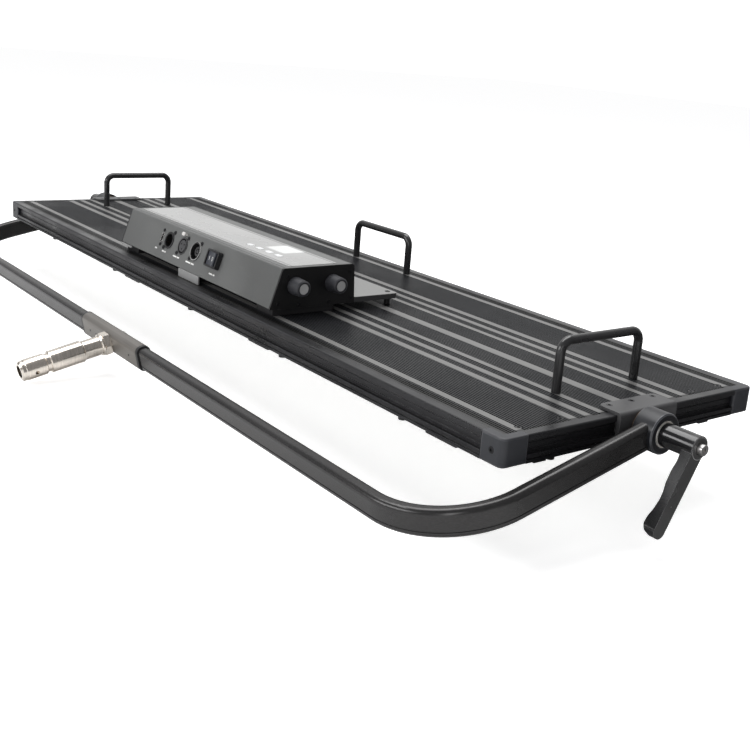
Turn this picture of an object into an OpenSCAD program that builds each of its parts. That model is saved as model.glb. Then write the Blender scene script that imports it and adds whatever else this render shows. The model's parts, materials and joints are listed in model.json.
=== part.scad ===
// Slim LED soft-light panel on a tilting yoke, with a combination stand spigot and a driver box on its back.
// Millimetres. X runs along the panel, Y across it, Z points out of its back.
// The origin is on the axis of the stand spigot, in the middle of its full-diameter length.

/* [Panel] */
// Length of the panel over its corner blocks
panel_l = 1303; // [1100:1:1500]
// Width of the panel over its rails
panel_w = 374; // [360:1:420]
// Thickness of the panel
panel_t = 28.7; // [28.7:0.1:32]
// Width of a rail seen from the back
rail_w = 11; // [10:0.5:13]
// Pitch of the fine cooling ribs
rib_pitch = 3.6; // [3.2:0.1:4.5]

/* [Handles] */
// Diameter of the handle rod
rod_d = 10; // [8:0.5:12]
// Distance between the legs of an end handle
end_handle_span = 120; // [90:1:140]
// Height of an end handle's rod above the panel
end_handle_h = 55; // [40:1:70]
// Distance between the legs of the side handle
side_handle_span = 130; // [90:1:140]
// Height of the side handle's rod above the panel
side_handle_h = 55; // [40:1:70]

/* [Yoke] */
// How far the yoke hangs below the panel's plane
yoke_drop = 12.7; // [0:0.1:20]
// Distance from the pivot axis to the middle of the yoke's bar
yoke_reach = 276; // [265:1:320]
// Radius of the yoke's bend at the middle of its tube
bend_r = 91; // [60:1:120]
// Depth of the yoke tube in the yoke's plane
tube_d = 15; // [13:0.5:17]
// Height of the yoke tube across the yoke's plane
tube_h = 29; // [26:0.5:32]
// Length of the sleeve that joins the two half yokes
sleeve_l = 180; // [140:1:240]
// Diameter of the stand spigot
spigot_d = 28.6; // [28.4:0.05:28.7]
// Diameter of the receiver in the spigot's end
receiver_d = 16.1; // [16:0.05:16.3]

/* [Driver box] */
// Length of the driver box
box_l = 430; // [424:1:460]
// Wall of the driver box's cover
box_wall = 2; // [1.5:0.1:2.5]
// Diameter of the two knobs
knob_d = 22.5; // [20:0.5:26]
// Travel of the four push buttons
button_travel = 0.8; // [0.5:0.1:0.8]

/* [Clamping levers] */
// Angle of the levers from straight down
lever_lean = 29.6; // [0:0.1:60]
// Length of a lever's arm from its axis
lever_l = 95; // [80:1:110]

/* [Hidden] */
$fn = 64;

// Panel
half_l = panel_l / 2;
half_w = panel_w / 2;
block_x = 30;
block_y = 32;
block_r = 7;
plate_z = panel_t - 6;
plate_base = 3;
ledge_t = 2;
channel_d = 5;
channel_z0 = 9;
flange_t = 2.2;
diffuser_t = 3;
diffuser_in = 12;
screw_r = 2;
head_r = 3.7;
plate_screw_x = half_l - 20;
plate_screw_y = [-150, -95, 104, 150];
bracket_screw_y = [-26, 7, 40];
corner_screw_x = half_l - 15;
corner_screw_z = 14;
// Flat lands on the heat sink: distance from the middle and width
lands = [[43, 8.4], [63.2, 8.5], [83.6, 10.1], [155.5, 9]];
centre_land_w = 12.8;
rib_w = 1.5;
// Where the handles stand
end_handle_x = 573;
end_handle_y = 18;
side_handle_y = 157;
// One of the four emitter boards
board_l = 281;
board_w = 290;
board_t = 1.6;
board_y = -5;
board_pitch = board_l + 2;
// Places of the round studs and the bars along a long rail
edge_stud_x = [-450, -205, 40, 270, 500];
edge_bar_x = [-142, 219, 564];

// Pivot
pivot_z = 14.3;
bracket_x0 = half_l - 27;
bracket_flange_t = 3.2;
bracket_front_t = 4.5;
bracket_w = 86;
bracket_y = 7;
bracket_x1 = half_l + bracket_front_t;
disc_x1 = bracket_x1 + 2.7;
boss_x0 = disc_x1 + 0.3;
boss_r = 21.3;
boss_x1 = boss_x0 + 25;
boss_bore_r = 10;
stud_r = 8;
thread_r = 5;
washer_t = 3.2;
washer_r = 13.8;
fit = 0.05;
arm_x = boss_x0 + 12;

// Lever
lever_x0 = boss_x1 + 0.6;
lever_x1 = lever_x0 + 41;
lever_hub_r = 12.3;
lever_w = 18;
core_r = 9;
core_l = 19.5;

// Yoke
tube_r = 6;
tube_wall = 1.8;
tube_gap = 9;
sleeve_wall = 2;
sleeve_r = tube_r + sleeve_wall;
trim_l = 5;
spigot_face = yoke_reach + tube_d / 2 + sleeve_wall + fit;
collar_l = 13;
neck_l = 24;
pin_l = 44;
groove_l = 5;
tail_l = 33;
sleeve_screw_x = [-62, -42, 62];
pin_mid = spigot_face + collar_l + neck_l + pin_l / 2;
origin = [0, -pin_mid * cos(yoke_drop), pivot_z - pin_mid * sin(yoke_drop)];

// Driver box: the cover's outline across the box
box_x = box_l / 2;
end_t = 2.5;
front_y = -168.5;
front_z = 39.5;
top_front_y = -152;
top_z = 88.3;
top_rear_y = -47.5;
rear_y = -44.5;
box_base_z = 38;
tray_top = 44.8;
tray_t = 1.8;
tray_front_y = -164.3;
tray_rear_y = 26;
tray_corner_r = 6;
support_x = 172;
// Screw places on the end plates, as Y and Z
end_screws = [[-144.6, 78.2], [-157.3, 44.6], [-127, 42], [-83.3, 42], [-54, 79], [-50.6, 44.6]];
slope = atan2(top_front_y - front_y, top_z - front_z);
socket_s = 29;
latch_s = socket_s + 16.3;
data_x = -97;
male_x = -75;
female_x = -34;
power_x = 4;
switch_x = 60;
switch_w = 30.5;
switch_h = 23.5;
rocker_tilt = 8;
knob_y = [-134, -80];
knob_z = 66;
knob_l = 20;
window = [[94, -105], [139, -73]];
button_x0 = 77.5;
button_pitch = 23.6;
button_y = -118;
button_size = [13, 7];
shell_r = 12.2;
inlet_r = 13;
flange_w = 26;
flange_h = 31;

// ---- shared shapes ----

module place() { translate(-origin) children(); }

module both() { for (side = [0, 1]) mirror([side, 0, 0]) children(); }

module x_rod(x0, x1, r) { translate([x0, 0, 0]) rotate([0, 90, 0]) cylinder(h = x1 - x0, r = r); }

module rounded(w, h, r) {
    square([w - 2 * r, h], center = true);
    square([w, h - 2 * r], center = true);
    for (i = [-1, 1], j = [-1, 1]) translate([i * (w / 2 - r), j * (h / 2 - r)]) circle(r);
}

// A countersunk screw standing on its tip, with a hexagon socket in its head
module countersunk(l) {
    difference() {
        union() {
            cylinder(h = l - 2, r = screw_r);
            translate([0, 0, l - 2]) cylinder(h = 2, r1 = screw_r, r2 = head_r);
        }
        translate([0, 0, l - 1.4]) cylinder(h = 2, r = 1.4, $fn = 6);
    }
}

module countersunk_hole(l) {
    cylinder(h = l - 2, r = screw_r + fit);
    translate([0, 0, l - 2]) cylinder(h = 2, r1 = screw_r + fit, r2 = head_r + fit);
    translate([0, 0, l]) cylinder(h = 2, r = head_r + fit);
}

module cap_screw(l, r, head, head_h) {
    difference() {
        union() {
            translate([0, 0, -l]) cylinder(h = l, r = r);
            cylinder(h = head_h, r = head);
        }
        translate([0, 0, head_h * 0.4]) cylinder(h = head_h, r = r * 0.75, $fn = 6);
    }
}

// ---- panel ----

// Rail section: x runs inwards from the outer face, y is up
module rail_section(ledge) {
    difference() {
        union() {
            square([channel_d + 2.2, panel_t - 3]);
            translate([0, plate_z]) square([rail_w, panel_t - plate_z - 2]);
            translate([2, panel_t - 4]) square([rail_w - 2, 4]);
            translate([2, panel_t - 2]) circle(2);
            translate([channel_d, plate_z - ledge_t]) square([ledge - channel_d, ledge_t]);
            square([diffuser_in + 3, flange_t]);
        }
        translate([-1, channel_z0]) square([channel_d + 1, plate_z - channel_z0]);
        for (z = [12, 18]) translate([channel_d - 1, z]) square([1.8, 1]);
        translate([-1, flange_t + 1]) square([3, 2]);
        translate([-1, -1]) square([1.6, 2]);
    }
}

module long_rail() {
    translate([-half_l + block_x, -half_w, 0])
        rotate([90, 0, 90]) linear_extrude(panel_l - 2 * block_x) rail_section(14);
}

module end_rail() {
    difference() {
        translate([half_l, -half_w + block_y, 0])
            mirror([1, 0, 0]) rotate([90, 0, 0]) mirror([0, 0, 1])
                linear_extrude(panel_w - 2 * block_y) rail_section(26);
        for (y = concat(bracket_screw_y, plate_screw_y))
            translate([plate_screw_x, y, plate_z - 4]) cylinder(h = 4, r = screw_r + fit);
    }
}

module rail_near() { color([0.13, 0.13, 0.14]) place() long_rail(); }
module rail_far() { color([0.13, 0.13, 0.14]) place() mirror([0, 1, 0]) long_rail(); }
module rail_right() { color([0.13, 0.13, 0.14]) place() end_rail(); }
module rail_left() { color([0.13, 0.13, 0.14]) place() mirror([1, 0, 0]) end_rail(); }

module corner_block() {
    difference() {
        linear_extrude(panel_t) difference() {
            union() {
                translate([half_l - block_x, half_w - block_y]) square([block_x, block_y - block_r]);
                translate([half_l - block_x, half_w - block_y]) square([block_x - block_r, block_y]);
                translate([half_l - block_r, half_w - block_r]) circle(block_r);
            }
            translate([half_l - block_x - 1, half_w - block_y - 1])
                square([block_x - rail_w + 1, block_y - rail_w + 1]);
        }
        translate([corner_screw_x, half_w, corner_screw_z])
            rotate([90, 0, 0]) mirror([0, 0, 1]) translate([0, 0, -9]) countersunk_hole(9);
    }
}

module corner_blocks() {
    color([0.2, 0.2, 0.21]) place()
        for (i = [0, 1], j = [0, 1]) mirror([i, 0, 0]) mirror([0, j, 0]) corner_block();
}

// Heat sink section: x is across the panel, y is up from the base
module heat_sink_section() {
    top = panel_t - plate_z;
    plate_half = half_w - rail_w;
    translate([-plate_half, 0]) square([2 * plate_half, plate_base]);
    translate([-centre_land_w / 2, 0]) square([centre_land_w, top]);
    for (s = [-1, 1]) {
        for (land = lands) translate([s * land[0] - land[1] / 2, 0]) square([land[1], top]);
        translate([s * (plate_half - 2) - 2, 0]) square([4, top]);
    }
    ribs = floor(plate_half / rib_pitch);
    for (i = [-ribs + 1:ribs - 1]) translate([i * rib_pitch - rib_w / 2, 0]) square([rib_w, top - 0.2]);
}

function handle_feet() = concat(
    [for (i = [-1, 1], j = [-1, 1]) [i * end_handle_x, end_handle_y + j * end_handle_span / 2]],
    [for (i = [-1, 1]) [i * side_handle_span / 2, side_handle_y]]);
module heat_sink() {
    plate_l = panel_l - 2 * rail_w;
    color([0.23, 0.24, 0.25]) place() difference() {
        translate([-plate_l / 2, 0, plate_z]) rotate([90, 0, 90]) linear_extrude(plate_l) heat_sink_section();
        for (side = [-1, 1]) {
            for (y = bracket_screw_y)
                translate([side * plate_screw_x, y, plate_z - 1]) cylinder(h = 8, r = screw_r + fit);
            for (y = plate_screw_y) translate([side * plate_screw_x, y, plate_z - 1]) {
                cylinder(h = 8, r = screw_r + fit);
                translate([0, 0, 4.6]) cylinder(h = 4, r = head_r + 0.6);
            }
        }
        for (foot = handle_feet()) translate([foot[0], foot[1], plate_z - 1]) cylinder(h = 8, r = 2.6);
    }
}

module panel_screws() {
    color([0.08, 0.08, 0.09]) place() {
        for (side = [0, 1]) mirror([side, 0, 0]) {
            for (y = bracket_screw_y) translate([plate_screw_x, y, plate_z - ledge_t])
                countersunk(panel_t + bracket_flange_t - plate_z + ledge_t);
            for (y = plate_screw_y) translate([plate_screw_x, y, plate_z + 3.6])
                cap_screw(3.6 + ledge_t, screw_r, head_r, 2.2);
            for (j = [0, 1]) mirror([0, j, 0]) translate([corner_screw_x, half_w, corner_screw_z])
                rotate([90, 0, 0]) mirror([0, 0, 1]) translate([0, 0, -9]) countersunk(9);
        }
        for (foot = handle_feet()) translate([foot[0], foot[1], plate_z])
            mirror([0, 0, 1]) cap_screw(18, 2.5, 4.5, 2.6);
    }
}

// A handle: two legs, two quarter bends and a cross rod, standing on the plate with its legs along X
module handle(span, height) {
    r = rod_d / 2;
    bend = 13;
    difference() {
        union() {
            for (side = [0, 1]) mirror([side, 0, 0]) {
                translate([span / 2, 0, 0]) cylinder(h = height - bend, r = r);
                translate([span / 2 - bend, 0, height - bend])
                    rotate([90, 0, 0]) rotate_extrude(angle = 90) translate([bend, 0]) circle(r);
            }
            translate([0, 0, height]) x_rod(-span / 2 + bend, span / 2 - bend, r);
        }
        for (side = [-1, 1]) translate([side * span / 2, 0, -1]) cylinder(h = 14, r = 2.6);
    }
}

module end_handle() {
    translate([end_handle_x, end_handle_y, panel_t]) rotate([0, 0, 90]) handle(end_handle_span, end_handle_h);
}

module handle_right() { color([0.1, 0.1, 0.1]) place() end_handle(); }
module handle_left() { color([0.1, 0.1, 0.1]) place() mirror([1, 0, 0]) end_handle(); }
module handle_side() {
    color([0.1, 0.1, 0.1]) place()
        translate([0, side_handle_y, panel_t]) handle(side_handle_span, side_handle_h);
}

module pivot_bracket() {
    round_r = 4;
    difference() {
        union() {
            intersection() {
                translate([0, bracket_y + bracket_w / 2, 0]) rotate([90, 0, 0]) linear_extrude(bracket_w) {
                    translate([bracket_x0, panel_t])
                        square([bracket_x1 - bracket_x0 - round_r, bracket_flange_t]);
                    translate([half_l, 3])
                        square([bracket_front_t, panel_t + bracket_flange_t - 3 - round_r]);
                    intersection() {
                        translate([bracket_x1 - round_r, panel_t + bracket_flange_t - round_r])
                            circle(round_r);
                        translate([half_l, panel_t - 1]) square(10);
                    }
                }
                translate([bracket_x0 + 45, bracket_y, 0]) linear_extrude(60) rounded(90, bracket_w, 8);
            }
            translate([half_l - channel_d, bracket_y - bracket_w / 2 + 4, channel_z0 + 0.1])
                cube([channel_d, bracket_w - 8, plate_z - channel_z0 - 0.2]);
        }
        translate([0, 0, pivot_z]) x_rod(half_l, bracket_x1 + 1, stud_r);
        translate([0, 0, pivot_z]) x_rod(half_l - channel_d - 1, half_l + 1, thread_r);
        for (y = bracket_screw_y) translate([plate_screw_x, y, plate_z - ledge_t])
            countersunk_hole(panel_t + bracket_flange_t - plate_z + ledge_t);
    }
}

module pivot_bracket_right() { color([0.19, 0.19, 0.2]) place() pivot_bracket(); }
module pivot_bracket_left() { color([0.19, 0.19, 0.2]) place() mirror([1, 0, 0]) pivot_bracket(); }

module pivot_studs() {
    color([0.6, 0.6, 0.62]) place() both() translate([0, 0, pivot_z]) {
        x_rod(half_l - channel_d, half_l + 0.5, thread_r);
        x_rod(half_l, boss_x1 + 0.4, stud_r);
        x_rod(boss_x1, boss_x1 + 17.5, thread_r);
    }
}

module friction_discs() {
    color([0.3, 0.22, 0.16]) place() both() translate([0, 0, pivot_z]) difference() {
        x_rod(bracket_x1, disc_x1, 18);
        x_rod(bracket_x1 - 1, disc_x1 + 1, stud_r + 0.2);
    }
}

module led_boards() {
    color([0.9, 0.9, 0.88]) place()
        for (i = [-1.5:1.5])
            translate([i * board_pitch - board_l / 2, board_y - board_w / 2, plate_z - board_t])
            cube([board_l, board_w, board_t]);
}

module led_packages() {
    columns = 24;
    rows = 5;
    pitch_x = 4 * board_pitch / columns;
    color([0.95, 0.85, 0.4]) place()
        for (i = [0:columns - 1], j = [0:rows - 1])
            translate([(i - (columns - 1) / 2) * pitch_x - 2.5, board_y + (j - (rows - 1) / 2) * 55 - 2.5,
                plate_z - board_t - 1.5]) cube([5, 5, 1.5]);
}

module diffuser() {
    color([0.95, 0.95, 0.93]) place() translate([-half_l + diffuser_in, -half_w + diffuser_in, flange_t])
        cube([panel_l - 2 * diffuser_in, panel_w - 2 * diffuser_in, diffuser_t]);
}

// Round studs and short bars under the lower flange, which hold a softbox or a grid
module accessory_studs() {
    stud_h = 3;
    color([0.1, 0.1, 0.1]) place() for (side = [0, 1]) {
        mirror([0, side, 0]) {
            for (x = edge_stud_x) translate([x, -half_w + 5.5, -stud_h]) cylinder(h = stud_h, r = 4.5);
            for (x = edge_bar_x) translate([x - 23, -half_w + 2, -stud_h + 0.5]) cube([46, 7, stud_h - 0.5]);
        }
        mirror([side, 0, 0]) {
            for (y = [-135, 109]) translate([half_l - 9, y - 8, -stud_h + 0.5]) cube([7, 16, stud_h - 0.5]);
            translate([half_l - 5.5, -119, -stud_h]) cylinder(h = stud_h, r = 4.5);
        }
    }
}

// ---- yoke ----

module yoke_frame() { translate([0, 0, pivot_z]) rotate([yoke_drop, 0, 0]) children(); }

// Tube section: x points out of the yoke, y is across its plane
module tube_section() {
    difference() {
        rounded(tube_d, tube_h, tube_r);
        rounded(tube_d - 2 * tube_wall, tube_h - 2 * tube_wall, tube_r - tube_wall);
        translate([tube_d / 2 - 0.7, -7.6]) square([2, 1.2]);
    }
}

module half_yoke_tube() {
    yoke_frame() {
        difference() {
            translate([arm_x, -5, 0]) rotate([90, 0, 0])
                linear_extrude(yoke_reach - bend_r - 5) tube_section();
            x_rod(boss_x0 - 1, boss_x1 + 1, boss_r);
        }
        translate([arm_x - bend_r, -yoke_reach + bend_r, 0])
            rotate([0, 0, -90]) rotate_extrude(angle = 90, $fn = 96) translate([bend_r, 0]) tube_section();
        translate([tube_gap, -yoke_reach, 0]) rotate([90, 0, 90])
            linear_extrude(arm_x - bend_r - tube_gap) mirror([1, 0]) tube_section();
    }
}

module yoke_tube_right() { color([0.12, 0.12, 0.13]) place() half_yoke_tube(); }
module yoke_tube_left() { color([0.12, 0.12, 0.13]) place() mirror([1, 0, 0]) half_yoke_tube(); }

module yoke_boss() {
    chamfer = 1.2;
    l = boss_x1 - boss_x0;
    yoke_frame() translate([boss_x0, 0, 0]) rotate([0, 90, 0]) difference() {
        rotate_extrude() polygon([[boss_bore_r, 0], [boss_r, 0], [boss_r, l - chamfer],
            [boss_r - chamfer, l], [boss_bore_r, l]]);
        translate([0, 0, l - washer_t + 0.2]) cylinder(h = washer_t, r = washer_r + 0.6);
    }
}

module yoke_boss_right() { color([0.18, 0.18, 0.19]) place() yoke_boss(); }
module yoke_boss_left() { color([0.18, 0.18, 0.19]) place() mirror([1, 0, 0]) yoke_boss(); }

module boss_bushes() {
    color([0.7, 0.5, 0.25]) place() both() yoke_frame() difference() {
        x_rod(boss_x0, boss_x1 - washer_t + 0.2, boss_bore_r);
        x_rod(boss_x0 - 1, boss_x1, stud_r + fit);
    }
}

module boss_washers() {
    color([0.8, 0.8, 0.8]) place() both() yoke_frame() difference() {
        x_rod(boss_x1 - washer_t + 0.2, boss_x1 + 0.2, washer_r);
        x_rod(boss_x0, boss_x1 + 1, stud_r + 0.3);
    }
}

module sleeve_outline() { rounded(tube_d + 2 * sleeve_wall, tube_h + 2 * sleeve_wall, sleeve_r); }

module along_bar(x0, x1) {
    yoke_frame() translate([x0, -yoke_reach, 0]) rotate([90, 0, 90]) linear_extrude(x1 - x0)
        mirror([1, 0]) children();
}

// Places of the small screws that lock the two half tubes in the sleeve
module in_sleeve_screws(depth) {
    for (x = sleeve_screw_x) yoke_frame()
        translate([x, -yoke_reach - tube_d / 2 - sleeve_wall, 0]) rotate([90, 0, 0])
            translate([0, 0, -depth]) children();
}

module yoke_sleeve() {
    color([0.27, 0.27, 0.28]) place() difference() {
        along_bar(-sleeve_l / 2 + trim_l, sleeve_l / 2 - trim_l) sleeve_outline();
        along_bar(-sleeve_l, sleeve_l) rounded(tube_d + fit, tube_h + fit, tube_r + fit / 2);
        yoke_frame() translate([0, -yoke_reach + 20, 0]) rotate([90, 0, 0])
            cylinder(h = 60, r = thread_r + fit);
        in_sleeve_screws(3) cylinder(h = 6, r = 1.6);
    }
}

module sleeve_end_trims() {
    color([0.03, 0.03, 0.03]) place() both() difference() {
        along_bar(sleeve_l / 2 - trim_l, sleeve_l / 2) sleeve_outline();
        along_bar(-sleeve_l, sleeve_l) rounded(tube_d + fit, tube_h + fit, tube_r + fit / 2);
    }
}

module sleeve_screws() {
    color([0.1, 0.1, 0.1]) place() in_sleeve_screws(1.9) difference() {
        cylinder(h = 2.1, r = 1.5);
        translate([0, 0, 1]) cylinder(h = 2, r = 0.8, $fn = 6);
    }
}

// Combination spigot along the yoke's plane: hexagon collar, neck, standard pin, retaining groove and tail
module stand_spigot() {
    pin_r = spigot_d / 2;
    collar_r = 14.6;
    neck_r = 12.6;
    groove_r = 11.8;
    tail_r = 13.7;
    pin_0 = collar_l + neck_l;
    groove_0 = pin_0 + pin_l;
    tail_0 = groove_0 + groove_l;
    end_0 = tail_0 + tail_l;
    hex_l = 9;
    cross_hole_turn = 15;
    color([0.8, 0.77, 0.72]) place() yoke_frame() translate([0, -spigot_face, 0]) rotate([90, 0, 0])
        difference() {
            union() {
                cylinder(h = hex_l, r = collar_r + 0.8, $fn = 6);
                rotate_extrude() polygon([[0, hex_l], [collar_r - 1, hex_l], [collar_r, hex_l + 1],
                    [collar_r, collar_l - 1], [collar_r - 1, collar_l],
                    [neck_r, collar_l], [neck_r, pin_0 - 1],
                    [pin_r - 1, pin_0], [pin_r, pin_0 + 1], [pin_r, groove_0 - 1], [pin_r - 1, groove_0],
                    [groove_r, groove_0], [groove_r, tail_0], [tail_r - 1, tail_0], [tail_r, tail_0 + 1],
                    [tail_r, end_0 - 7], [tail_r - 0.8, end_0 - 6.2], [tail_r - 0.8, end_0 - 2.2],
                    [tail_r - 3, end_0], [0, end_0]]);
                translate([0, 0, -24]) cylinder(h = 25, r = thread_r);
            }
            translate([0, 0, end_0 - 40]) cylinder(h = 41, r = receiver_d / 2);
            translate([0, 0, end_0 - 18]) rotate([0, 90, -cross_hole_turn]) cylinder(h = 20, r = 2.6);
        }
}

module spigot_nut() {
    inner = sleeve_wall + tube_d + sleeve_wall;
    color([0.7, 0.7, 0.7]) place() yoke_frame() translate([0, -spigot_face + inner + 0.1, 0])
        rotate([-90, 0, 0]) difference() {
            union() {
                cylinder(h = 1, r = 9);
                cylinder(h = 5.5, r = 8.2, $fn = 6);
            }
            translate([0, 0, -1]) cylinder(h = 9, r = thread_r + fit);
        }
}

// ---- clamping levers ----

// In the lever frame X is the pivot axis and the arm hangs straight down
module lever_frame() { translate([0, 0, pivot_z]) rotate([-lever_lean, 0, 0]) children(); }

module lever() {
    tip_r = 8;
    lever_frame() difference() {
        union() {
            x_rod(lever_x0, lever_x1 - 0.8, lever_hub_r);
            x_rod(lever_x1 - 1, lever_x1, lever_hub_r - 1.6);
            intersection() {
                translate([0, lever_w / 2, 0]) rotate([90, 0, 0]) linear_extrude(lever_w)
                    polygon([[lever_x1, 6], [lever_x1, -lever_l], [lever_x1 - 7, -lever_l],
                        [lever_x1 - 11.5, -lever_l + 3], [lever_x1 - 14, -lever_l + 9],
                        [lever_x1 - 13.5, -lever_l + 16], [lever_x1 - 11, -lever_l + 25],
                        [lever_x1 - 9.6, -lever_l + 35], [lever_x1 - 10, -lever_l + 43],
                        [lever_x1 - 11.8, -lever_l + 52], [lever_x1 - 12.2, -30],
                        [lever_x1 - 11.2, -20], [lever_x1 - 12, -12], [lever_x1 - 14, 6]]);
                rotate([90, 0, 90]) linear_extrude(lever_x1 + 1) {
                    translate([-lever_w / 2, -lever_l + tip_r]) square([lever_w, lever_l]);
                    translate([0, -lever_l + tip_r / 2 + 4])
                        square([lever_w - 2 * tip_r, tip_r + 8], center = true);
                    for (s = [-1, 1]) translate([s * (lever_w / 2 - tip_r), -lever_l + tip_r]) circle(tip_r);
                }
            }
        }
        x_rod(lever_x0 - 1, lever_x0 + core_l + 1.5, core_r + fit);
        x_rod(lever_x0, lever_x1, 3.15);
        x_rod(lever_x1 - 14, lever_x1 + 1, 6.3);
    }
}

// Threaded insert that clamps the yoke, with the retaining screw and the compressed return spring on it
module lever_core() {
    spring_x = lever_x1 - 8.6;
    translate([0, 0, pivot_z]) difference() {
        union() {
            x_rod(lever_x0, lever_x0 + core_l, core_r);
            x_rod(lever_x0 + core_l - 1, lever_x1 - 2, 3);
            x_rod(lever_x1 - 3, lever_x1 + 5.5, 5.6);
        }
        x_rod(lever_x0 - 1, lever_x0 + core_l - 1.5, thread_r + fit);
        x_rod(lever_x1 + 2, lever_x1 + 6, 2.4);
    }
    translate([0, 0, pivot_z]) difference() {
        x_rod(spring_x, lever_x1 - 3, 5.2);
        x_rod(spring_x - 1, lever_x1, 3.4);
    }
}

module lever_right() { color([0.08, 0.08, 0.08]) place() lever(); }
module lever_left() { color([0.08, 0.08, 0.08]) place() mirror([1, 0, 0]) lever(); }
module lever_core_right() { color([0.75, 0.75, 0.76]) place() lever_core(); }
module lever_core_left() { color([0.75, 0.75, 0.76]) place() mirror([1, 0, 0]) lever_core(); }

// ---- driver box ----

// Frame on the sloping front: X along the box, Z up the slope, -Y out of it
module on_slope(x, s) {
    translate([x, front_y, front_z]) rotate([-slope, 0, 0]) translate([0, 0, s]) children();
}

// Cylinder through the sloping front, from depth a to depth b behind its surface
module slope_rod(a, b, r) { translate([0, a, 0]) rotate([-90, 0, 0]) cylinder(h = b - a, r = r); }

module slope_box(a, b, w, h) { translate([-w / 2, a, -h / 2]) cube([w, b - a, h]); }

// Corner points of an outline's rounded corner, from angle a0 to a1
function corner(cx, cy, r, a0, a1) = [for (i = [0:6]) [cx + r * cos(a0 + (a1 - a0) * i / 6),
    cy + r * sin(a0 + (a1 - a0) * i / 6)]];

function box_outline(inset, front_low, rear_low, r) = concat(
    [[front_y + inset * 1.06 + (front_low - front_z) * tan(slope), front_low]],
    corner(top_front_y + r * 0.72 + inset * 0.72, top_z - inset - r, r, 180 - slope, 90),
    corner(top_rear_y - r - inset, top_z - inset - r, r, 90, 4),
    [[rear_y - inset - (rear_low - box_base_z) * 0.07, rear_low]]);

module across_box(x0, x1) { translate([x0, 0, 0]) rotate([90, 0, 90]) linear_extrude(x1 - x0) children(); }

module box_tray() {
    module outline(inset) {
        front_half = box_x - end_t - inset;
        rear_half = box_x - inset;
        rear_edge = tray_rear_y - inset;
        translate([-front_half, tray_front_y + inset]) square([2 * front_half, -tray_front_y - inset]);
        translate([-rear_half, rear_y + 0.2 + inset])
            square([2 * rear_half, tray_rear_y - tray_corner_r - rear_y - 0.2 - inset]);
        translate([-box_x + tray_corner_r, 0]) square([2 * (box_x - tray_corner_r), rear_edge]);
        for (s = [-1, 1]) translate([s * (box_x - tray_corner_r), tray_rear_y - tray_corner_r])
            circle(tray_corner_r - inset);
    }
    color([0.3, 0.31, 0.31]) place() difference() {
        translate([0, 0, box_base_z]) linear_extrude(tray_top - box_base_z) outline(0);
        translate([0, 0, box_base_z - 1]) linear_extrude(tray_top - box_base_z - tray_t + 1) outline(tray_t);
        for (side = [-1, 1]) translate([side * (box_x - 12), tray_rear_y - 9, box_base_z])
            cylinder(h = 10, r = 2.2);
    }
}

module box_supports() {
    color([0.08, 0.08, 0.08]) place() {
        for (side = [0, 1]) mirror([side, 0, 0]) {
            translate([support_x, -161, panel_t])
                cube([box_x - end_t - 3 - support_x, 88, tray_top - tray_t - panel_t]);
            translate([box_x - 12, tray_rear_y - 9, panel_t])
                cylinder(h = tray_top - tray_t - panel_t, r = 4);
        }
        translate([-22, front_y - 2.6, panel_t]) cube([58, 2, 10.8]);
        translate([-box_x + 2.8, front_y - 2.4, panel_t + 7.6]) cube([36, 2, 2.4]);
        translate([-box_x + 5, front_y - 0.4, panel_t + 7.6]) cube([20, 14, 1.7]);
        translate([-9, front_y - 0.6, panel_t]) cube([30, 18, 2]);
    }
}

module socket_cutouts(r) {
    for (x = [male_x, female_x]) on_slope(x, socket_s) slope_rod(-1, 4, shell_r + r);
    on_slope(power_x, socket_s) slope_rod(-1, 4, inlet_r + r);
    on_slope(data_x, socket_s) slope_box(-1, 4, 6.6 + r, 13.8 + r);
    on_slope(switch_x, socket_s) slope_box(-1, 4, 27.7 + r, 20.7 + r);
    on_slope(female_x, latch_s) slope_box(-1, 4, 8.6, 4.4);
}

// Screws beside each socket, on opposite corners of its flange
function socket_screws() = concat(
    [for (x = [male_x, female_x, power_x], s = [-1, 1]) [x + s * 10.2, socket_s + s * 12.3, 1.4]],
    [for (s = [-1, 1]) [data_x, socket_s + s * 10.3, 1]]);

module box_cover() {
    color([0.33, 0.34, 0.34]) place() difference() {
        across_box(-box_x + end_t, box_x - end_t) difference() {
            polygon(concat(box_outline(0, front_z, tray_top + 0.1, 3), [[rear_y - 9, tray_top + 0.1]]));
            polygon(concat(box_outline(box_wall, front_z - 1, tray_top - 1, 2),
                [[rear_y - 9, 30], [-160, 30]]));
        }
        socket_cutouts(0.2);
        for (p = socket_screws()) on_slope(p[0], p[1]) slope_rod(-1, 4, p[2] + fit);
        translate([window[0][0], window[0][1], top_z - 4])
            cube([window[1][0] - window[0][0], window[1][1] - window[0][1], 6]);
        for (i = [0:3]) translate([button_x0 + i * button_pitch, button_y, top_z - 4])
            linear_extrude(6) rounded(button_size[0] + 0.8, button_size[1] + 0.8, 2.4);
        for (y = [-147.6, -51.4]) translate([-box_x, y - 0.6, top_z - 0.6]) cube([box_l, 1.2, 1]);
    }
}

module end_plate() {
    difference() {
        across_box(box_x - end_t, box_x) polygon(box_outline(0, box_base_z, box_base_z, 4));
        for (p = end_screws) translate([0, p[0], p[1]]) x_rod(box_x - 5, box_x + 1, 1.3);
    }
}

module end_plate_right() {
    color([0.05, 0.05, 0.05]) place() difference() {
        end_plate();
        for (y = knob_y) translate([0, y, knob_z]) x_rod(box_x - 5, box_x + 1, 4.6);
    }
}

module end_plate_left() { color([0.05, 0.05, 0.05]) place() mirror([1, 0, 0]) end_plate(); }

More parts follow.
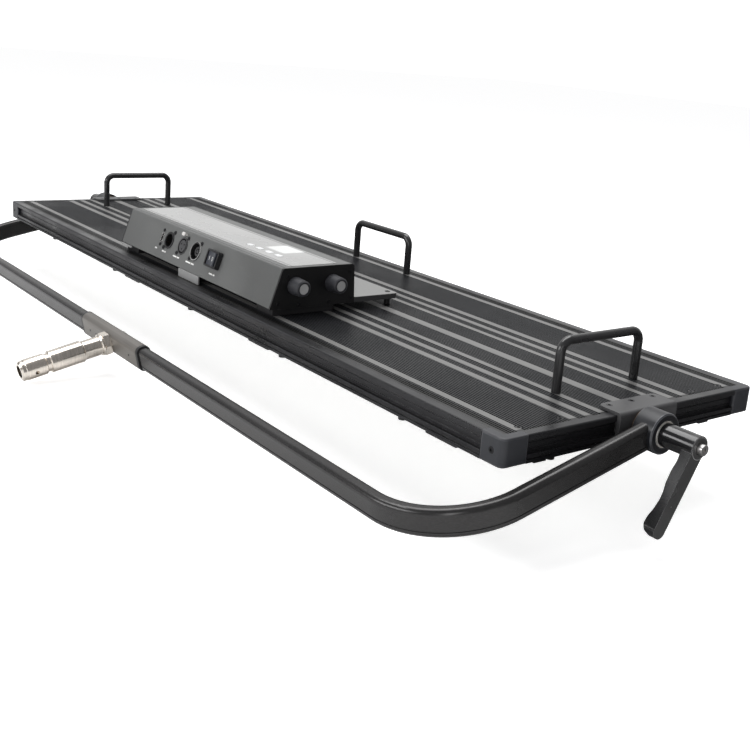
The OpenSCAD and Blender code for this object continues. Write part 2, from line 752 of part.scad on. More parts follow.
module box_screws() {
    color([0.07, 0.07, 0.07]) place() {
        for (p = socket_screws()) on_slope(p[0], p[1]) rotate([90, 0, 0]) cap_screw(3.9, p[2], p[2] + 1.1, 1);
        for (side = [0, 1], p = end_screws) mirror([side, 0, 0]) translate([box_x, p[0], p[1]])
            rotate([0, 90, 0]) cap_screw(2.4, 1.25, 2.3, 0.7);
        for (side = [-1, 1]) translate([side * (box_x - 12), tray_rear_y - 9, tray_top])
            cap_screw(tray_t, 2.1, 3.6, 0.6);
    }
}

module top_overlay() {
    t = 0.4;
    color([0.42, 0.43, 0.43]) place() difference() {
        translate([-box_x + 8, -139, top_z]) cube([box_l - 16, 70, t]);
        translate([window[0][0], window[0][1], top_z - 1])
            cube([window[1][0] - window[0][0], window[1][1] - window[0][1], 3]);
        for (i = [0:3]) translate([button_x0 + i * button_pitch, button_y, top_z - 1])
            linear_extrude(4) rounded(button_size[0] + 0.8, button_size[1] + 0.8, 2.4);
    }
}

module display_window() {
    color([0.85, 0.86, 0.84]) place() translate([window[0][0] + 0.1, window[0][1] + 0.1, top_z - 1.5])
        cube([window[1][0] - window[0][0] - 0.2, window[1][1] - window[0][1] - 0.2, 1.9]);
}

// Circuit board with the display module and the four key switches
module control_board() {
    board_z = 78.5;
    color([0.1, 0.35, 0.2]) place() {
        translate([66, -144, board_z]) cube([130, 86, board_t]);
        translate([window[0][0] + 2, window[0][1] + 2, board_z + board_t])
            cube([window[1][0] - window[0][0] - 4, window[1][1] - window[0][1] - 4,
                top_z - 1.5 - board_z - board_t]);
        for (i = [0:3]) translate([button_x0 + i * button_pitch - 3, button_y - 3, board_z + board_t])
            cube([6, 6, top_z - box_wall - 1.7 - button_travel - board_z - board_t]);
        for (x = [70, 192], y = [-140, -62]) translate([x, y, board_z + board_t]) cylinder(h = 6.1, r = 2.5);
    }
}

module power_supply() {
    color([0.6, 0.6, 0.58]) place() {
        translate([-185, -126, tray_top]) cube([170, 68, 30]);
        translate([-5, -126, tray_top]) cube([60, 66, 22]);
    }
}

module socket_flange(w, h) { slope_box(box_wall + 0.1, box_wall + 1.9, w, h); }

module data_port() {
    color([0.6, 0.6, 0.6]) place() on_slope(data_x, socket_s) difference() {
        union() {
            slope_box(-0.6, 16, 6.4, 13.6);
            socket_flange(9, 25);
        }
        slope_box(-1, 12, 5, 12.2);
        for (s = [-1, 1]) translate([0, 0, s * 10.3]) slope_rod(0, 6, 1 + fit);
    }
}

module socket_shell(r, recess_r, recess_d, depth) {
    difference() {
        union() {
            slope_rod(-1, depth, r);
            socket_flange(flange_w, flange_h);
        }
        slope_rod(-2, recess_d, recess_r);
        for (s = [-1, 1]) translate([s * 10.2, 0, s * 12.3]) slope_rod(0, 6, 1.4 + fit);
    }
}

module xlr_male() {
    color([0.06, 0.06, 0.06]) place() on_slope(male_x, socket_s) socket_shell(shell_r, 9.6, 16, 24);
}

module at_pins(r) { for (a = [30, 150, 270]) translate([r * cos(a), 0, r * sin(a)]) children(); }

module xlr_pins() {
    color([0.85, 0.65, 0.3]) place() on_slope(male_x, socket_s) at_pins(4.6) {
        slope_rod(8.2, 16, 1.2);
        translate([0, 8.2, 0]) sphere(1.2);
    }
}

module xlr_female() {
    color([0.13, 0.13, 0.14]) place() on_slope(female_x, socket_s) difference() {
        union() {
            slope_rod(-0.8, 24, shell_r);
            socket_flange(flange_w, flange_h);
        }
        difference() {
            slope_rod(-2, 10, 10.4);
            slope_rod(-3, 11, 8.4);
        }
        at_pins(4.6) slope_rod(-2, 12, 1.3);
        translate([0, 0, latch_s - socket_s]) slope_box(1, 5, 9, 5);
        for (s = [-1, 1]) translate([s * 10.2, 0, s * 12.3]) slope_rod(0, 6, 1.4 + fit);
    }
}

module xlr_latch() {
    color([0.85, 0.85, 0.83]) place() on_slope(female_x, latch_s) {
        slope_box(-4, 3, 7.6, 3.4);
        translate([0, -4, 0]) rotate([90, 0, 0]) linear_extrude(1) rounded(8.2, 4.8, 2);
    }
}

module power_inlet() {
    color([0.1, 0.1, 0.11]) place() on_slope(power_x, socket_s) {
        socket_shell(inlet_r, 11, 16, 24);
        difference() {
            slope_rod(7.6, 16, 5);
            slope_rod(7, 14, 2.6);
        }
    }
}

module switch_bezel() {
    color([0.05, 0.05, 0.05]) place() on_slope(switch_x, socket_s) difference() {
        union() {
            rotate([90, 0, 0]) linear_extrude(7) rounded(switch_w, switch_h, 3);
            slope_box(-0.5, 20, 27.5, 20.5);
        }
        slope_box(-8, 12, 25.5, 18.3);
        translate([0, 1, -10.9]) cylinder(h = 21.8, r = 1.5 + fit);
    }
}

module switch_rocker() {
    half = 11.3;
    color([0.1, 0.1, 0.12]) place() on_slope(switch_x, socket_s) translate([0, 1, 0])
        rotate([0, 0, -rocker_tilt]) {
            translate([0, 0, -8.85]) linear_extrude(17.7)
                polygon([[-half, -7.4], [-half + 1, -8.4], [0, -7.2], [half - 1, -8.4], [half, -7.4],
                    [half, -3], [5, 2.6], [-5, 2.6], [-half, -3]]);
            translate([0, 0, -10.1]) cylinder(h = 20.2, r = 1.5);
        }
}

// Rotary encoders behind the right end plate
module encoders() {
    color([0.4, 0.4, 0.42]) place() for (y = knob_y) translate([0, y, knob_z]) difference() {
        union() {
            translate([box_x - end_t - 12, -7, -7]) cube([12, 14, 14]);
            x_rod(box_x - end_t - 1, box_x + 4, 4.5);
        }
        x_rod(box_x - end_t - 9, box_x + 6, 3 + fit);
    }
}

// A knob with its own shaft, which turns in the encoder
module knob(y) {
    x0 = box_x + 0.6;
    skirt = 1.2;
    color([0.14, 0.14, 0.15]) place() translate([0, y, knob_z]) {
        difference() {
            translate([x0, 0, 0]) rotate([0, 90, 0]) rotate_extrude()
                polygon([[0, 0], [knob_d / 2, 0], [knob_d / 2 - skirt, knob_l - 1.5],
                    [knob_d / 2 - skirt - 1.5, knob_l], [0, knob_l]]);
            x_rod(x0 - 1, x0 + 5, 6);
            x_rod(x0 + knob_l - 0.8, x0 + knob_l + 1, 6.6);
            for (a = [0:20:340])
                rotate([a, 0, 0]) translate([0, 0, knob_d / 2 + 0.1]) x_rod(x0 + 2, x0 + knob_l + 1, 0.6);
        }
        x_rod(box_x - end_t - 8, x0 + 6, 3);
    }
}

module knob_front() { knob(knob_y[0]); }
module knob_rear() { knob(knob_y[1]); }

// A key cap with a flange that keeps it under the cover
module button(i) {
    flange_t = 1.2;
    flange_z = top_z - box_wall - 0.3 - flange_t;
    color([0.93, 0.93, 0.93]) place() translate([button_x0 + i * button_pitch, button_y, 0]) {
        translate([0, 0, flange_z]) linear_extrude(flange_t)
            rounded(button_size[0] + 3, button_size[1] + 3, 2);
        translate([0, 0, flange_z]) linear_extrude(top_z + button_travel - flange_z)
            rounded(button_size[0], button_size[1], 2);
    }
}

module button_1() { button(0); }
module button_2() { button(1); }
module button_3() { button(2); }
module button_4() { button(3); }

yoke_tube_right();
yoke_tube_left();
yoke_boss_right();
yoke_boss_left();
yoke_sleeve();
sleeve_end_trims();
sleeve_screws();
stand_spigot();
spigot_nut();
boss_bushes();
boss_washers();
rail_near();
rail_far();
rail_right();
rail_left();
corner_blocks();
heat_sink();
panel_screws();
handle_right();
handle_left();
handle_side();
pivot_bracket_right();
pivot_bracket_left();
pivot_studs();
friction_discs();
led_boards();
led_packages();
diffuser();
accessory_studs();
box_tray();
box_supports();
box_cover();
end_plate_right();
end_plate_left();
box_screws();
top_overlay();
display_window();
control_board();
power_supply();
data_port();
xlr_male();
xlr_pins();
xlr_female();
power_inlet();
switch_bezel();
encoders();
lever_right();
lever_left();
lever_core_right();
lever_core_left();
knob_front();
knob_rear();
switch_rocker();
xlr_latch();
button_1();
button_2();
button_3();
button_4();
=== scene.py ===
import json
import math

import bmesh
import bpy
from mathutils import Matrix, Vector


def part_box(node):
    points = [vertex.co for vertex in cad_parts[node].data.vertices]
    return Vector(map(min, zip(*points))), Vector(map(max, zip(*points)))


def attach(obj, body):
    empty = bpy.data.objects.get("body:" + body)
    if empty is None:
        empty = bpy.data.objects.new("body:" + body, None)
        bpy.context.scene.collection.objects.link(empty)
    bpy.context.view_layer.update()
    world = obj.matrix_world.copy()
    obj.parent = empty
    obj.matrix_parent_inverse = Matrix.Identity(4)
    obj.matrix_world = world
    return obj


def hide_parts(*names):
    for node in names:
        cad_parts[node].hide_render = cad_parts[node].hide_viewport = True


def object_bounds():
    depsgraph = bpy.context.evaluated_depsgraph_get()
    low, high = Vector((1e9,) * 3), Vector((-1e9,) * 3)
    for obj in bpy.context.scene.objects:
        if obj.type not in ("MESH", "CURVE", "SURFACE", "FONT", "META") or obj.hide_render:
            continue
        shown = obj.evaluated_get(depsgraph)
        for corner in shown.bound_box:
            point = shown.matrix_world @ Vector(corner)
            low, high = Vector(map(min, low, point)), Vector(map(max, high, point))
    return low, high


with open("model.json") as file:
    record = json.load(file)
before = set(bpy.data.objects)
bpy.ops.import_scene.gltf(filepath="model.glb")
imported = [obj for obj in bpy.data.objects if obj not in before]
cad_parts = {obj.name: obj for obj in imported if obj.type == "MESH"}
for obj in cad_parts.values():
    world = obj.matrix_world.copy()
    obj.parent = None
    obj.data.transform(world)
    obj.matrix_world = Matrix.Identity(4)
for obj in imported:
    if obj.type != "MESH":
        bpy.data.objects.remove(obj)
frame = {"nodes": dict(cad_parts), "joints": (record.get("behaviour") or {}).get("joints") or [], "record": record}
cad_low, cad_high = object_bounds()

# ---- Camera ----
# Looks down on the finned back of the panel from beyond its right end, where the nearer clamping lever hangs.
view_from = Vector((1.2874, -0.4873, 0.4227))
view_along = Vector((-0.74562, 0.61164, -0.2645))
view_up = Vector((-0.25849, 0.10038, 0.96078))
camera = bpy.data.objects.new("camera", bpy.data.cameras.new("camera"))
camera.data.lens = 51.446
camera.data.shift_x = -0.05
camera.data.shift_y = -0.05
camera.data.clip_end = 50
camera.matrix_world = (
    Matrix.Translation(view_from)
    @ Matrix((view_along.cross(view_up), view_up, -view_along)).transposed().to_4x4()
)
bpy.context.scene.collection.objects.link(camera)
bpy.context.scene.camera = camera

# ---- Studio ----
# A plain pale floor under the object and a white sweep behind it, seen from a dim room. One large soft
# light hangs overhead, one stands beyond the yoke, and a narrow one lights the end with the lever.
floor_half = 12.0
floor_z = cad_low.z - 0.004
floor_mesh = bpy.data.meshes.new("floor")
floor_mesh.from_pydata(
    [(x, y, floor_z) for x, y in ((-floor_half, -floor_half), (floor_half, -floor_half),
                                  (floor_half, floor_half), (-floor_half, floor_half))],
    [], [(0, 1, 2, 3)])
floor = bpy.data.objects.new("floor", floor_mesh)
bpy.context.scene.collection.objects.link(floor)
floor_seen, floor_glow = (0.93, 0.93, 0.93, 1), 0.62
floor_paint = bpy.data.materials.new("pale_floor")
floor_paint.use_nodes = True
floor_tree = floor_paint.node_tree
floor_shader = floor_tree.nodes["Principled BSDF"]
floor_shader.inputs["Roughness"].default_value = 0.9
floor_shader.inputs["Specular IOR Level"].default_value = 0.0
rays = floor_tree.nodes.new("ShaderNodeLightPath")
floor_tone = floor_tree.nodes.new("ShaderNodeMix")
floor_tone.data_type = "RGBA"
floor_tone.inputs[6].default_value = floor_seen
mirrored = floor_tree.nodes.new("ShaderNodeMapRange")
mirrored.interpolation_type = "SMOOTHSTEP"
for label, value in (("From Min", 0.12), ("From Max", 0.45), ("To Min", 0.9), ("To Max", 0.13)):
    mirrored.inputs[label].default_value = value
floor_place = floor_tree.nodes.new("ShaderNodeSeparateXYZ")
floor_tree.links.new(floor_tree.nodes.new("ShaderNodeTexCoord").outputs["Object"], floor_place.inputs[0])
floor_tree.links.new(floor_place.outputs["Y"], mirrored.inputs["Value"])
floor_tree.links.new(mirrored.outputs[0], floor_tone.inputs[7])
floor_tree.links.new(rays.outputs["Is Glossy Ray"], floor_tone.inputs[0])
floor_tree.links.new(floor_tone.outputs[2], floor_shader.inputs["Base Color"])
floor_shader.inputs["Emission Strength"].default_value = floor_glow
floor_tree.links.new(rays.outputs["Is Camera Ray"], floor_shader.inputs["Emission Color"])
floor_mesh.materials.append(floor_paint)

room_dim, sweep_bright = (0.24, 0.24, 0.245, 1), (0.85, 0.85, 0.85, 1)
sweep_from, sweep_to = 0.2, 0.95
world = bpy.data.worlds.new("dim_room_with_sweep")
world.use_nodes = True
room = world.node_tree
towards_sweep = room.nodes.new("ShaderNodeVectorMath")
towards_sweep.operation = "DOT_PRODUCT"
room.links.new(room.nodes.new("ShaderNodeTexCoord").outputs["Generated"], towards_sweep.inputs[0])
towards_sweep.inputs[1].default_value = Vector((view_along.x, view_along.y, 0.25)).normalized()
fade = room.nodes.new("ShaderNodeMapRange")
fade.interpolation_type = "SMOOTHSTEP"
fade.inputs["From Min"].default_value, fade.inputs["From Max"].default_value = sweep_from, sweep_to
room.links.new(towards_sweep.outputs["Value"], fade.inputs["Value"])
around = room.nodes.new("ShaderNodeMix")
around.data_type = "RGBA"
around.inputs[6].default_value, around.inputs[7].default_value = room_dim, sweep_bright
room.links.new(fade.outputs[0], around.inputs[0])
seen = room.nodes.new("ShaderNodeMix")
seen.data_type = "RGBA"
seen.inputs[7].default_value = (1.2, 1.2, 1.2, 1)
room.links.new(room.nodes.new("ShaderNodeLightPath").outputs["Is Camera Ray"], seen.inputs[0])
room.links.new(around.outputs[2], seen.inputs[6])
room.links.new(seen.outputs[2], room.nodes["Background"].inputs["Color"])
bpy.context.scene.world = world
bpy.context.scene.view_settings.view_transform = "Standard"


def soft_light(name, at, towards, width, height, watts):
    lamp = bpy.data.lights.new(name, "AREA")
    lamp.shape = "RECTANGLE"
    lamp.size, lamp.size_y, lamp.energy = width, height, watts
    holder = bpy.data.objects.new(name, lamp)
    holder.matrix_world = Matrix.Translation(at) @ (Vector(towards) - Vector(at)).to_track_quat(
        "-Z", "Y").to_matrix().to_4x4()
    bpy.context.scene.collection.objects.link(holder)


soft_light("overhead", (-0.5, 0.5, 2.6), (0, 0.3, 0), 2.8, 1.6, 62)
soft_light("yoke_side", (-0.6, -2.8, 1.3), (0, 0, 0), 2.6, 1.0, 42)
soft_light("lever_end", (2.2, -1.6, 0.9), (0.6, 0.2, 0), 0.5, 1.4, 9)

# ---- Rails ----
# Four black anodised aluminium extrusions that frame the panel, with a round lip, a sunk channel and a
# lower bead. They are sawn square and pushed into the corner blocks; fine lines from the die run along each
# of them.


def new_group(name, inputs, outputs):
    group = bpy.data.node_groups.new(name, "ShaderNodeTree")
    for label, kind, value in inputs:
        group.interface.new_socket(name=label, in_out="INPUT", socket_type=kind).default_value = value
    for label in outputs:
        group.interface.new_socket(name=label, in_out="OUTPUT", socket_type="NodeSocketFloat")
    return group, group.nodes.new("NodeGroupInput"), group.nodes.new("NodeGroupOutput")


def spread(tree, value, low, high, to_low=0.0, to_high=1.0):
    """A smooth step of a value from one range to another."""
    step = tree.nodes.new("ShaderNodeMapRange")
    step.interpolation_type = "SMOOTHSTEP"
    for label, number in zip(("From Min", "From Max", "To Min", "To Max"), (low, high, to_low, to_high)):
        step.inputs[label].default_value = number
    tree.links.new(value, step.inputs["Value"])
    return step.outputs["Result"]


def noise(tree, vector, scale=1.0, detail=2.0):
    made = tree.nodes.new("ShaderNodeTexNoise")
    made.inputs["Scale"].default_value = scale
    made.inputs["Detail"].default_value = detail
    tree.links.new(vector, made.inputs["Vector"])
    return made.outputs["Fac"]


def times(tree, a, b):
    made = tree.nodes.new("ShaderNodeMath")
    made.operation = "MULTIPLY"
    tree.links.new(a, made.inputs[0])
    if isinstance(b, float):
        made.inputs[1].default_value = b
    else:
        tree.links.new(b, made.inputs[1])
    return made.outputs[0]


# Fine lines that run one way, as on a drawn, turned or brushed metal: Density is in lines per metre on each
# axis
drawn_lines, taken, given = new_group(
    "drawn_lines", [("Density", "NodeSocketVector", (5, 900, 900))], ["Lines"])
place = drawn_lines.nodes.new("ShaderNodeTexCoord")
stretch = drawn_lines.nodes.new("ShaderNodeVectorMath")
stretch.operation = "MULTIPLY"
drawn_lines.links.new(place.outputs["Object"], stretch.inputs[0])
drawn_lines.links.new(taken.outputs["Density"], stretch.inputs[1])
drawn_lines.links.new(noise(drawn_lines, stretch.outputs[0], 1.0, 3.0), given.inputs["Lines"])

# The fine pebbled skin of a powder coat or a moulded part: Grain is the size of a pebble in metres
powder_grain, taken, given = new_group(
    "powder_grain", [("Grain", "NodeSocketFloat", 0.0006)], ["Height", "Fleck"])
place = powder_grain.nodes.new("ShaderNodeTexCoord")
finer = powder_grain.nodes.new("ShaderNodeVectorMath")
finer.operation = "DIVIDE"
powder_grain.links.new(place.outputs["Object"], finer.inputs[0])
powder_grain.links.new(taken.outputs["Grain"], finer.inputs[1])
grain = noise(powder_grain, finer.outputs[0], 1.0, 2.0)
powder_grain.links.new(grain, given.inputs["Height"])
powder_grain.links.new(spread(powder_grain, grain, 0.62, 0.74), given.inputs["Fleck"])

# Uneven sheen where hands and a soft cloth have been: Size is that of a patch in metres
handling, taken, given = new_group(
    "handling", [("Size", "NodeSocketFloat", 0.08)], ["Smudge", "Scratch"])
place = handling.nodes.new("ShaderNodeTexCoord")
wide = handling.nodes.new("ShaderNodeVectorMath")
wide.operation = "DIVIDE"
handling.links.new(place.outputs["Object"], wide.inputs[0])
handling.links.new(taken.outputs["Size"], wide.inputs[1])
handling.links.new(spread(handling, noise(handling, wide.outputs[0], 1.0, 4.0), 0.3, 0.7),
                   given.inputs["Smudge"])
skewed = handling.nodes.new("ShaderNodeMapping")
skewed.inputs["Rotation"].default_value = (0.4, 0.7, 0.9)
skewed.inputs["Scale"].default_value = (40, 1500, 1500)
handling.links.new(place.outputs["Object"], skewed.inputs["Vector"])
handling.links.new(spread(handling, noise(handling, skewed.outputs[0], 1.0, 1.0), 0.72, 0.78),
                   given.inputs["Scratch"])

# Rubbed edges, and on the levers a painted highlight along the edges: the attribute "rim" is 1 on an eased edge
# and
# 0 elsewhere, and Amount is how much of it takes the rim colour
rim_wear_and_highlight, taken, given = new_group("rim_wear_and_highlight", [("Amount", "NodeSocketFloat", 0.5)], ["Mask"])
rim = rim_wear_and_highlight.nodes.new("ShaderNodeAttribute")
rim.attribute_name = "rim"
place = rim_wear_and_highlight.nodes.new("ShaderNodeTexCoord")
patches = spread(rim_wear_and_highlight, noise(rim_wear_and_highlight, place.outputs["Object"], 70.0, 5.0), 0.35, 0.65, 0.35, 1.0)
rim_wear_and_highlight.links.new(
    times(rim_wear_and_highlight, times(rim_wear_and_highlight, rim.outputs["Fac"], patches), taken.outputs["Amount"]),
    given.inputs["Mask"])


def use_group(tree, group, **values):
    made = tree.nodes.new("ShaderNodeGroup")
    made.node_tree = group
    for label, value in values.items():
        made.inputs[label.replace("_", " ").title()].default_value = value
    return made


def mixed(tree, amount, a, b):
    """Colour a turning into colour b; each is a colour or a socket."""
    made = tree.nodes.new("ShaderNodeMix")
    made.data_type = "RGBA"
    tree.links.new(amount, made.inputs[0])
    for slot, colour in ((6, a), (7, b)):
        if isinstance(colour, bpy.types.NodeSocket):
            tree.links.new(colour, made.inputs[slot])
        else:
            made.inputs[slot].default_value = (*colour, 1)
    return made.outputs[2]


def shade(colour, amount):
    return tuple(min(1.0, c * amount) for c in colour)


def finish(name, colour, roughness, metallic=0.0, lines=None, grain=0.0006, bump=0.15, bump_depth=0.0001,
           rim_colour=None, rim_amount=0.5, uneven=0.08, patch=0.08, coat=0.0, extra=None):
    """A surface finish: drawn lines or a powder grain, uneven sheen, and eased edges in the rim colour: rubbed
    wear on most finishes, a painted highlight on the levers.
    """
    material = bpy.data.materials.new(name)
    material.use_nodes = True
    tree = material.node_tree
    shader = tree.nodes["Principled BSDF"]
    shader.inputs["Metallic"].default_value = metallic
    shader.inputs["Coat Weight"].default_value = coat
    shader.inputs["Coat Roughness"].default_value = 0.12
    touched = use_group(tree, handling, size=patch)
    look = mixed(tree, touched.outputs["Smudge"], shade(colour, 0.88), shade(colour, 1.12))
    if lines:
        texture = use_group(tree, drawn_lines, density=lines)
        height = texture.outputs["Lines"]
        look = mixed(tree, spread(tree, height, 0.35, 0.7, 0.0, 0.5), look, shade(colour, 1.5))
    else:
        texture = use_group(tree, powder_grain, grain=grain)
        height = texture.outputs["Height"]
        look = mixed(tree, times(tree, texture.outputs["Fleck"], 0.35), look, shade(colour, 1.9))
    look = mixed(tree, times(tree, touched.outputs["Scratch"], 0.25), look, shade(colour, 2.2))
    if extra:
        look = extra(tree, look)
    edge = use_group(tree, rim_wear_and_highlight, amount=rim_amount)
    look = mixed(tree, edge.outputs["Mask"], look, rim_colour or shade(colour, 2.4))
    tree.links.new(look, shader.inputs["Base Color"])
    tree.links.new(spread(tree, touched.outputs["Smudge"], 0.0, 1.0, roughness - uneven, roughness + uneven),
                   shader.inputs["Roughness"])
    relief = tree.nodes.new("ShaderNodeBump")
    relief.inputs["Strength"].default_value = bump
    relief.inputs["Distance"].default_value = bump_depth
    tree.links.new(height, relief.inputs["Height"])
    tree.links.new(relief.outputs["Normal"], shader.inputs["Normal"])
    return material


slot_of = {part["node"]: part["material_slot"] for part in frame["record"]["subparts"]}
body_of = {node: body for body, nodes in frame["record"]["behaviour"]["bodies"].items() for node in nodes}


def add_piece(name, mesh, body, slot, *stands_for):
    """Puts a finished mesh into the scene on its body."""
    piece = bpy.data.objects.new(name, mesh)
    bpy.context.scene.collection.objects.link(piece)
    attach(piece, body)
    if stands_for:
        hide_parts(*stands_for)
    return piece


def flat_faces_stay_flat(mesh, angle):
    """Smooth shading that stops at edges sharper than the angle and keeps large faces level."""
    mesh.polygons.foreach_set("use_smooth", [True] * len(mesh.polygons))
    mesh.set_sharp_from_angle(angle=math.radians(angle))
    carrier = bpy.data.objects.new("carrier", mesh)
    bpy.context.scene.collection.objects.link(carrier)
    level = carrier.modifiers.new("level", "WEIGHTED_NORMAL")
    level.keep_sharp = True
    made = bpy.data.meshes.new_from_object(carrier.evaluated_get(bpy.context.evaluated_depsgraph_get()))
    bpy.data.objects.remove(carrier)
    return made


sharp_edge = math.radians(35)


def eased(node, material, ease=0.0003, segments=2, only=lambda edge: True):
    """A copy of a CAD piece whose sharp edges are eased, shown in its place."""
    mesh = frame["nodes"][node].data.copy()
    shape = bmesh.new()
    shape.from_mesh(mesh)
    bmesh.ops.remove_doubles(shape, verts=shape.verts, dist=2e-6)
    bmesh.ops.dissolve_limit(shape, angle_limit=math.radians(0.2), verts=shape.verts, edges=shape.edges)
    rim = shape.faces.layers.float.new("rim")
    if ease:
        sharp = [edge for edge in shape.edges
                 if len(edge.link_faces) == 2 and edge.calc_face_angle(0) > sharp_edge and only(edge)]
        made = bmesh.ops.bevel(shape, geom=sharp, offset=ease, segments=segments, profile=0.6,
                               affect="EDGES", clamp_overlap=True)
        for face in made["faces"]:
            face[rim] = 1.0
    mesh.clear_geometry()
    shape.to_mesh(mesh)
    shape.free()
    mesh.materials.clear()
    mesh.materials.append(material)
    return add_piece(node + "_shown", flat_faces_stay_flat(mesh, 40), body_of[node], slot_of[node], node)


def dress(node, material):
    """Gives a CAD piece that stays as it is its finish."""
    holder = frame["nodes"][node]
    for slot in holder.material_slots:
        slot.material = material
    if not holder.material_slots:
        holder.data.materials.append(material)


rail_black = (0.018, 0.018, 0.02)
rail_worn = (0.16, 0.16, 0.165)
rail_along_x = finish("rail_black_along_x", rail_black, 0.34, 0.35, lines=(6, 1400, 1400), rim_colour=rail_worn)
rail_along_y = finish("rail_black_along_y", rail_black, 0.34, 0.35, lines=(1400, 6, 1400), rim_colour=rail_worn)
for node in ("rail_near", "rail_far"):
    eased(node, rail_along_x, 0.00025)
for node in ("rail_right", "rail_left"):
    eased(node, rail_along_y, 0.00025)


# ---- Corner blocks ----
# Four moulded nylon blocks that close the panel's corners; the rails push into them. Each has well rounded
# edges and a fine satin texture, and one countersunk screw in its long side holds the rail.
corner_ease, corner_round = 0.0022, 0.0075
corner_nylon = finish("corner_nylon", (0.028, 0.03, 0.036), 0.42, grain=0.0005, bump=0.25,
                      rim_colour=(0.14, 0.14, 0.15),
                      rim_amount=0.35)
blocks_low, blocks_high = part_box("corner_blocks")
blocks_middle, blocks_half = (blocks_low + blocks_high) / 2, (blocks_high - blocks_low) / 2


def on_outline(edge):
    """An edge of a block's top or bottom that runs round the outside of the panel."""
    spots = [vert.co - blocks_middle for vert in edge.verts]
    return all(abs(abs(spot.z) - blocks_half.z) < 1e-5
               and (abs(spot.x) > blocks_half.x - corner_round or abs(spot.y) > blocks_half.y - corner_round)
               for spot in spots)


eased("corner_blocks", corner_nylon, corner_ease, 4, only=on_outline)

# ---- Heat sink ----
# One wide anodised extrusion with fine cooling ribs between flat lands; it is the back of the panel and
# carries everything else. The lands and rib tops are painted lighter, a painted sheen where their flat tops
# catch the light, the ribs between them stay dark, and a painted shade darkens the plate beside the rails.


def coordinate(tree, axis, source="Object"):
    split = tree.nodes.new("ShaderNodeSeparateXYZ")
    tree.links.new(tree.nodes.new("ShaderNodeTexCoord").outputs[source], split.inputs[0])
    return split.outputs[axis]


def sum_of(tree, operation, *values):
    """A math node over sockets and numbers."""
    made = tree.nodes.new("ShaderNodeMath")
    made.operation = operation
    for place_in, value in zip(made.inputs, values):
        if isinstance(value, float):
            place_in.default_value = value
        else:
            tree.links.new(value, place_in)
    return made.outputs[0]


def within(tree, value, centre, half):
    """1 where a value is no further than half from centre."""
    return sum_of(tree, "COMPARE", value, float(centre), float(half))


def facing_up(tree):
    return within(tree, coordinate(tree, 2, "Normal"), 1, 0.15)


heat_low, heat_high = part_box("heat_sink")
heat_middle = (heat_low.y + heat_high.y) / 2
land_places = ((0, 0.0064), (0.043, 0.0042), (0.0632, 0.00425), (0.0836, 0.00505), (0.1555, 0.0045))
# Painted sheen: the lands and the rib tops are painted lighter where their flat tops catch the light.
land_painted_sheen = (0.19, 0.188, 0.184)
rib_top_painted_sheen = (0.04, 0.041, 0.045)
# Painted shade: the plate is painted near black along its long edges and ends, in the gaps beside the rails.
gap_painted_shade = (0.004, 0.004, 0.004)
shade_band_along, shade_band_across = 0.0035, 0.0125


def painted_sheen_and_gap_shade(tree, look):
    across = sum_of(tree, "ABSOLUTE", sum_of(tree, "SUBTRACT", coordinate(tree, 1), heat_middle))
    lands = within(tree, across, *land_places[0])
    for land in land_places[1:]:
        lands = sum_of(tree, "MAXIMUM", lands, within(tree, across, *land))
    rib_tops = times(tree, facing_up(tree), within(tree, coordinate(tree, 2), heat_high.z, 0.0006))
    look = mixed(tree, times(tree, rib_tops, 0.6), look, rib_top_painted_sheen)
    look = mixed(tree, times(tree, lands, rib_tops), look, land_painted_sheen)
    side_gap_shade = sum_of(tree, "GREATER_THAN", across, heat_high.y - heat_middle - shade_band_across)
    end_gap_shade = sum_of(tree, "GREATER_THAN", sum_of(tree, "ABSOLUTE", coordinate(tree, 0)),
                     heat_high.x - shade_band_along)
    return mixed(tree, sum_of(tree, "MAXIMUM", side_gap_shade, end_gap_shade), look, gap_painted_shade)


heat_sink_finish = finish("heat_sink_anodised", (0.013, 0.014, 0.0165), 0.42, 0.25, lines=(4, 900, 900),
                          bump=0.1,
                          patch=0.15, extra=painted_sheen_and_gap_shade)
dress("heat_sink", heat_sink_finish)

# ---- Screws ----
# Black oxide screws with hexagon sockets: countersunk ones in the brackets and corner blocks, cap heads
# under the handles and on the plate, small ones round each socket and on the driver box, and set screws in
# the sleeve.
screw_black = finish("screw_black", (0.022, 0.022, 0.024), 0.36, 0.6, grain=0.0003, bump=0.08,
                     rim_colour=(0.3, 0.3, 0.31), rim_amount=0.4)


def geometry_tree(name, inputs):
    tree = bpy.data.node_groups.new(name, "GeometryNodeTree")
    tree.interface.new_socket(name="Geometry", in_out="INPUT", socket_type="NodeSocketGeometry")
    for label, kind in inputs:
        tree.interface.new_socket(name=label, in_out="INPUT", socket_type=kind)
    tree.interface.new_socket(name="Geometry", in_out="OUTPUT", socket_type="NodeSocketGeometry")
    return tree, tree.nodes.new("NodeGroupInput"), tree.nodes.new("NodeGroupOutput")


def joined(tree, kind, links, operation=None, **values):
    """A node with its inputs linked to sockets or set to values, by name or by number."""
    made = tree.nodes.new(kind)
    if operation:
        made.operation = operation
    for label, value in values.items():
        made.inputs[label.replace("_", " ").title()].default_value = value
    for label, socket in links.items():
        tree.links.new(socket, made.inputs[label])
    return made


def finish_instances(tree, taken, given, points, instance, rotation=None):
    """Puts the instance on every point, makes it real and gives it the material."""
    links = {"Points": points, "Instance": instance}
    if rotation:
        links["Rotation"] = rotation
    placed = joined(tree, "GeometryNodeInstanceOnPoints", links)
    real = joined(tree, "GeometryNodeRealizeInstances", {"Geometry": placed.outputs["Instances"]})
    painted = joined(tree, "GeometryNodeSetMaterial",
                     {"Geometry": real.outputs[0], "Material": taken.outputs["Material"]})
    tree.links.new(painted.outputs[0], given.inputs["Geometry"])


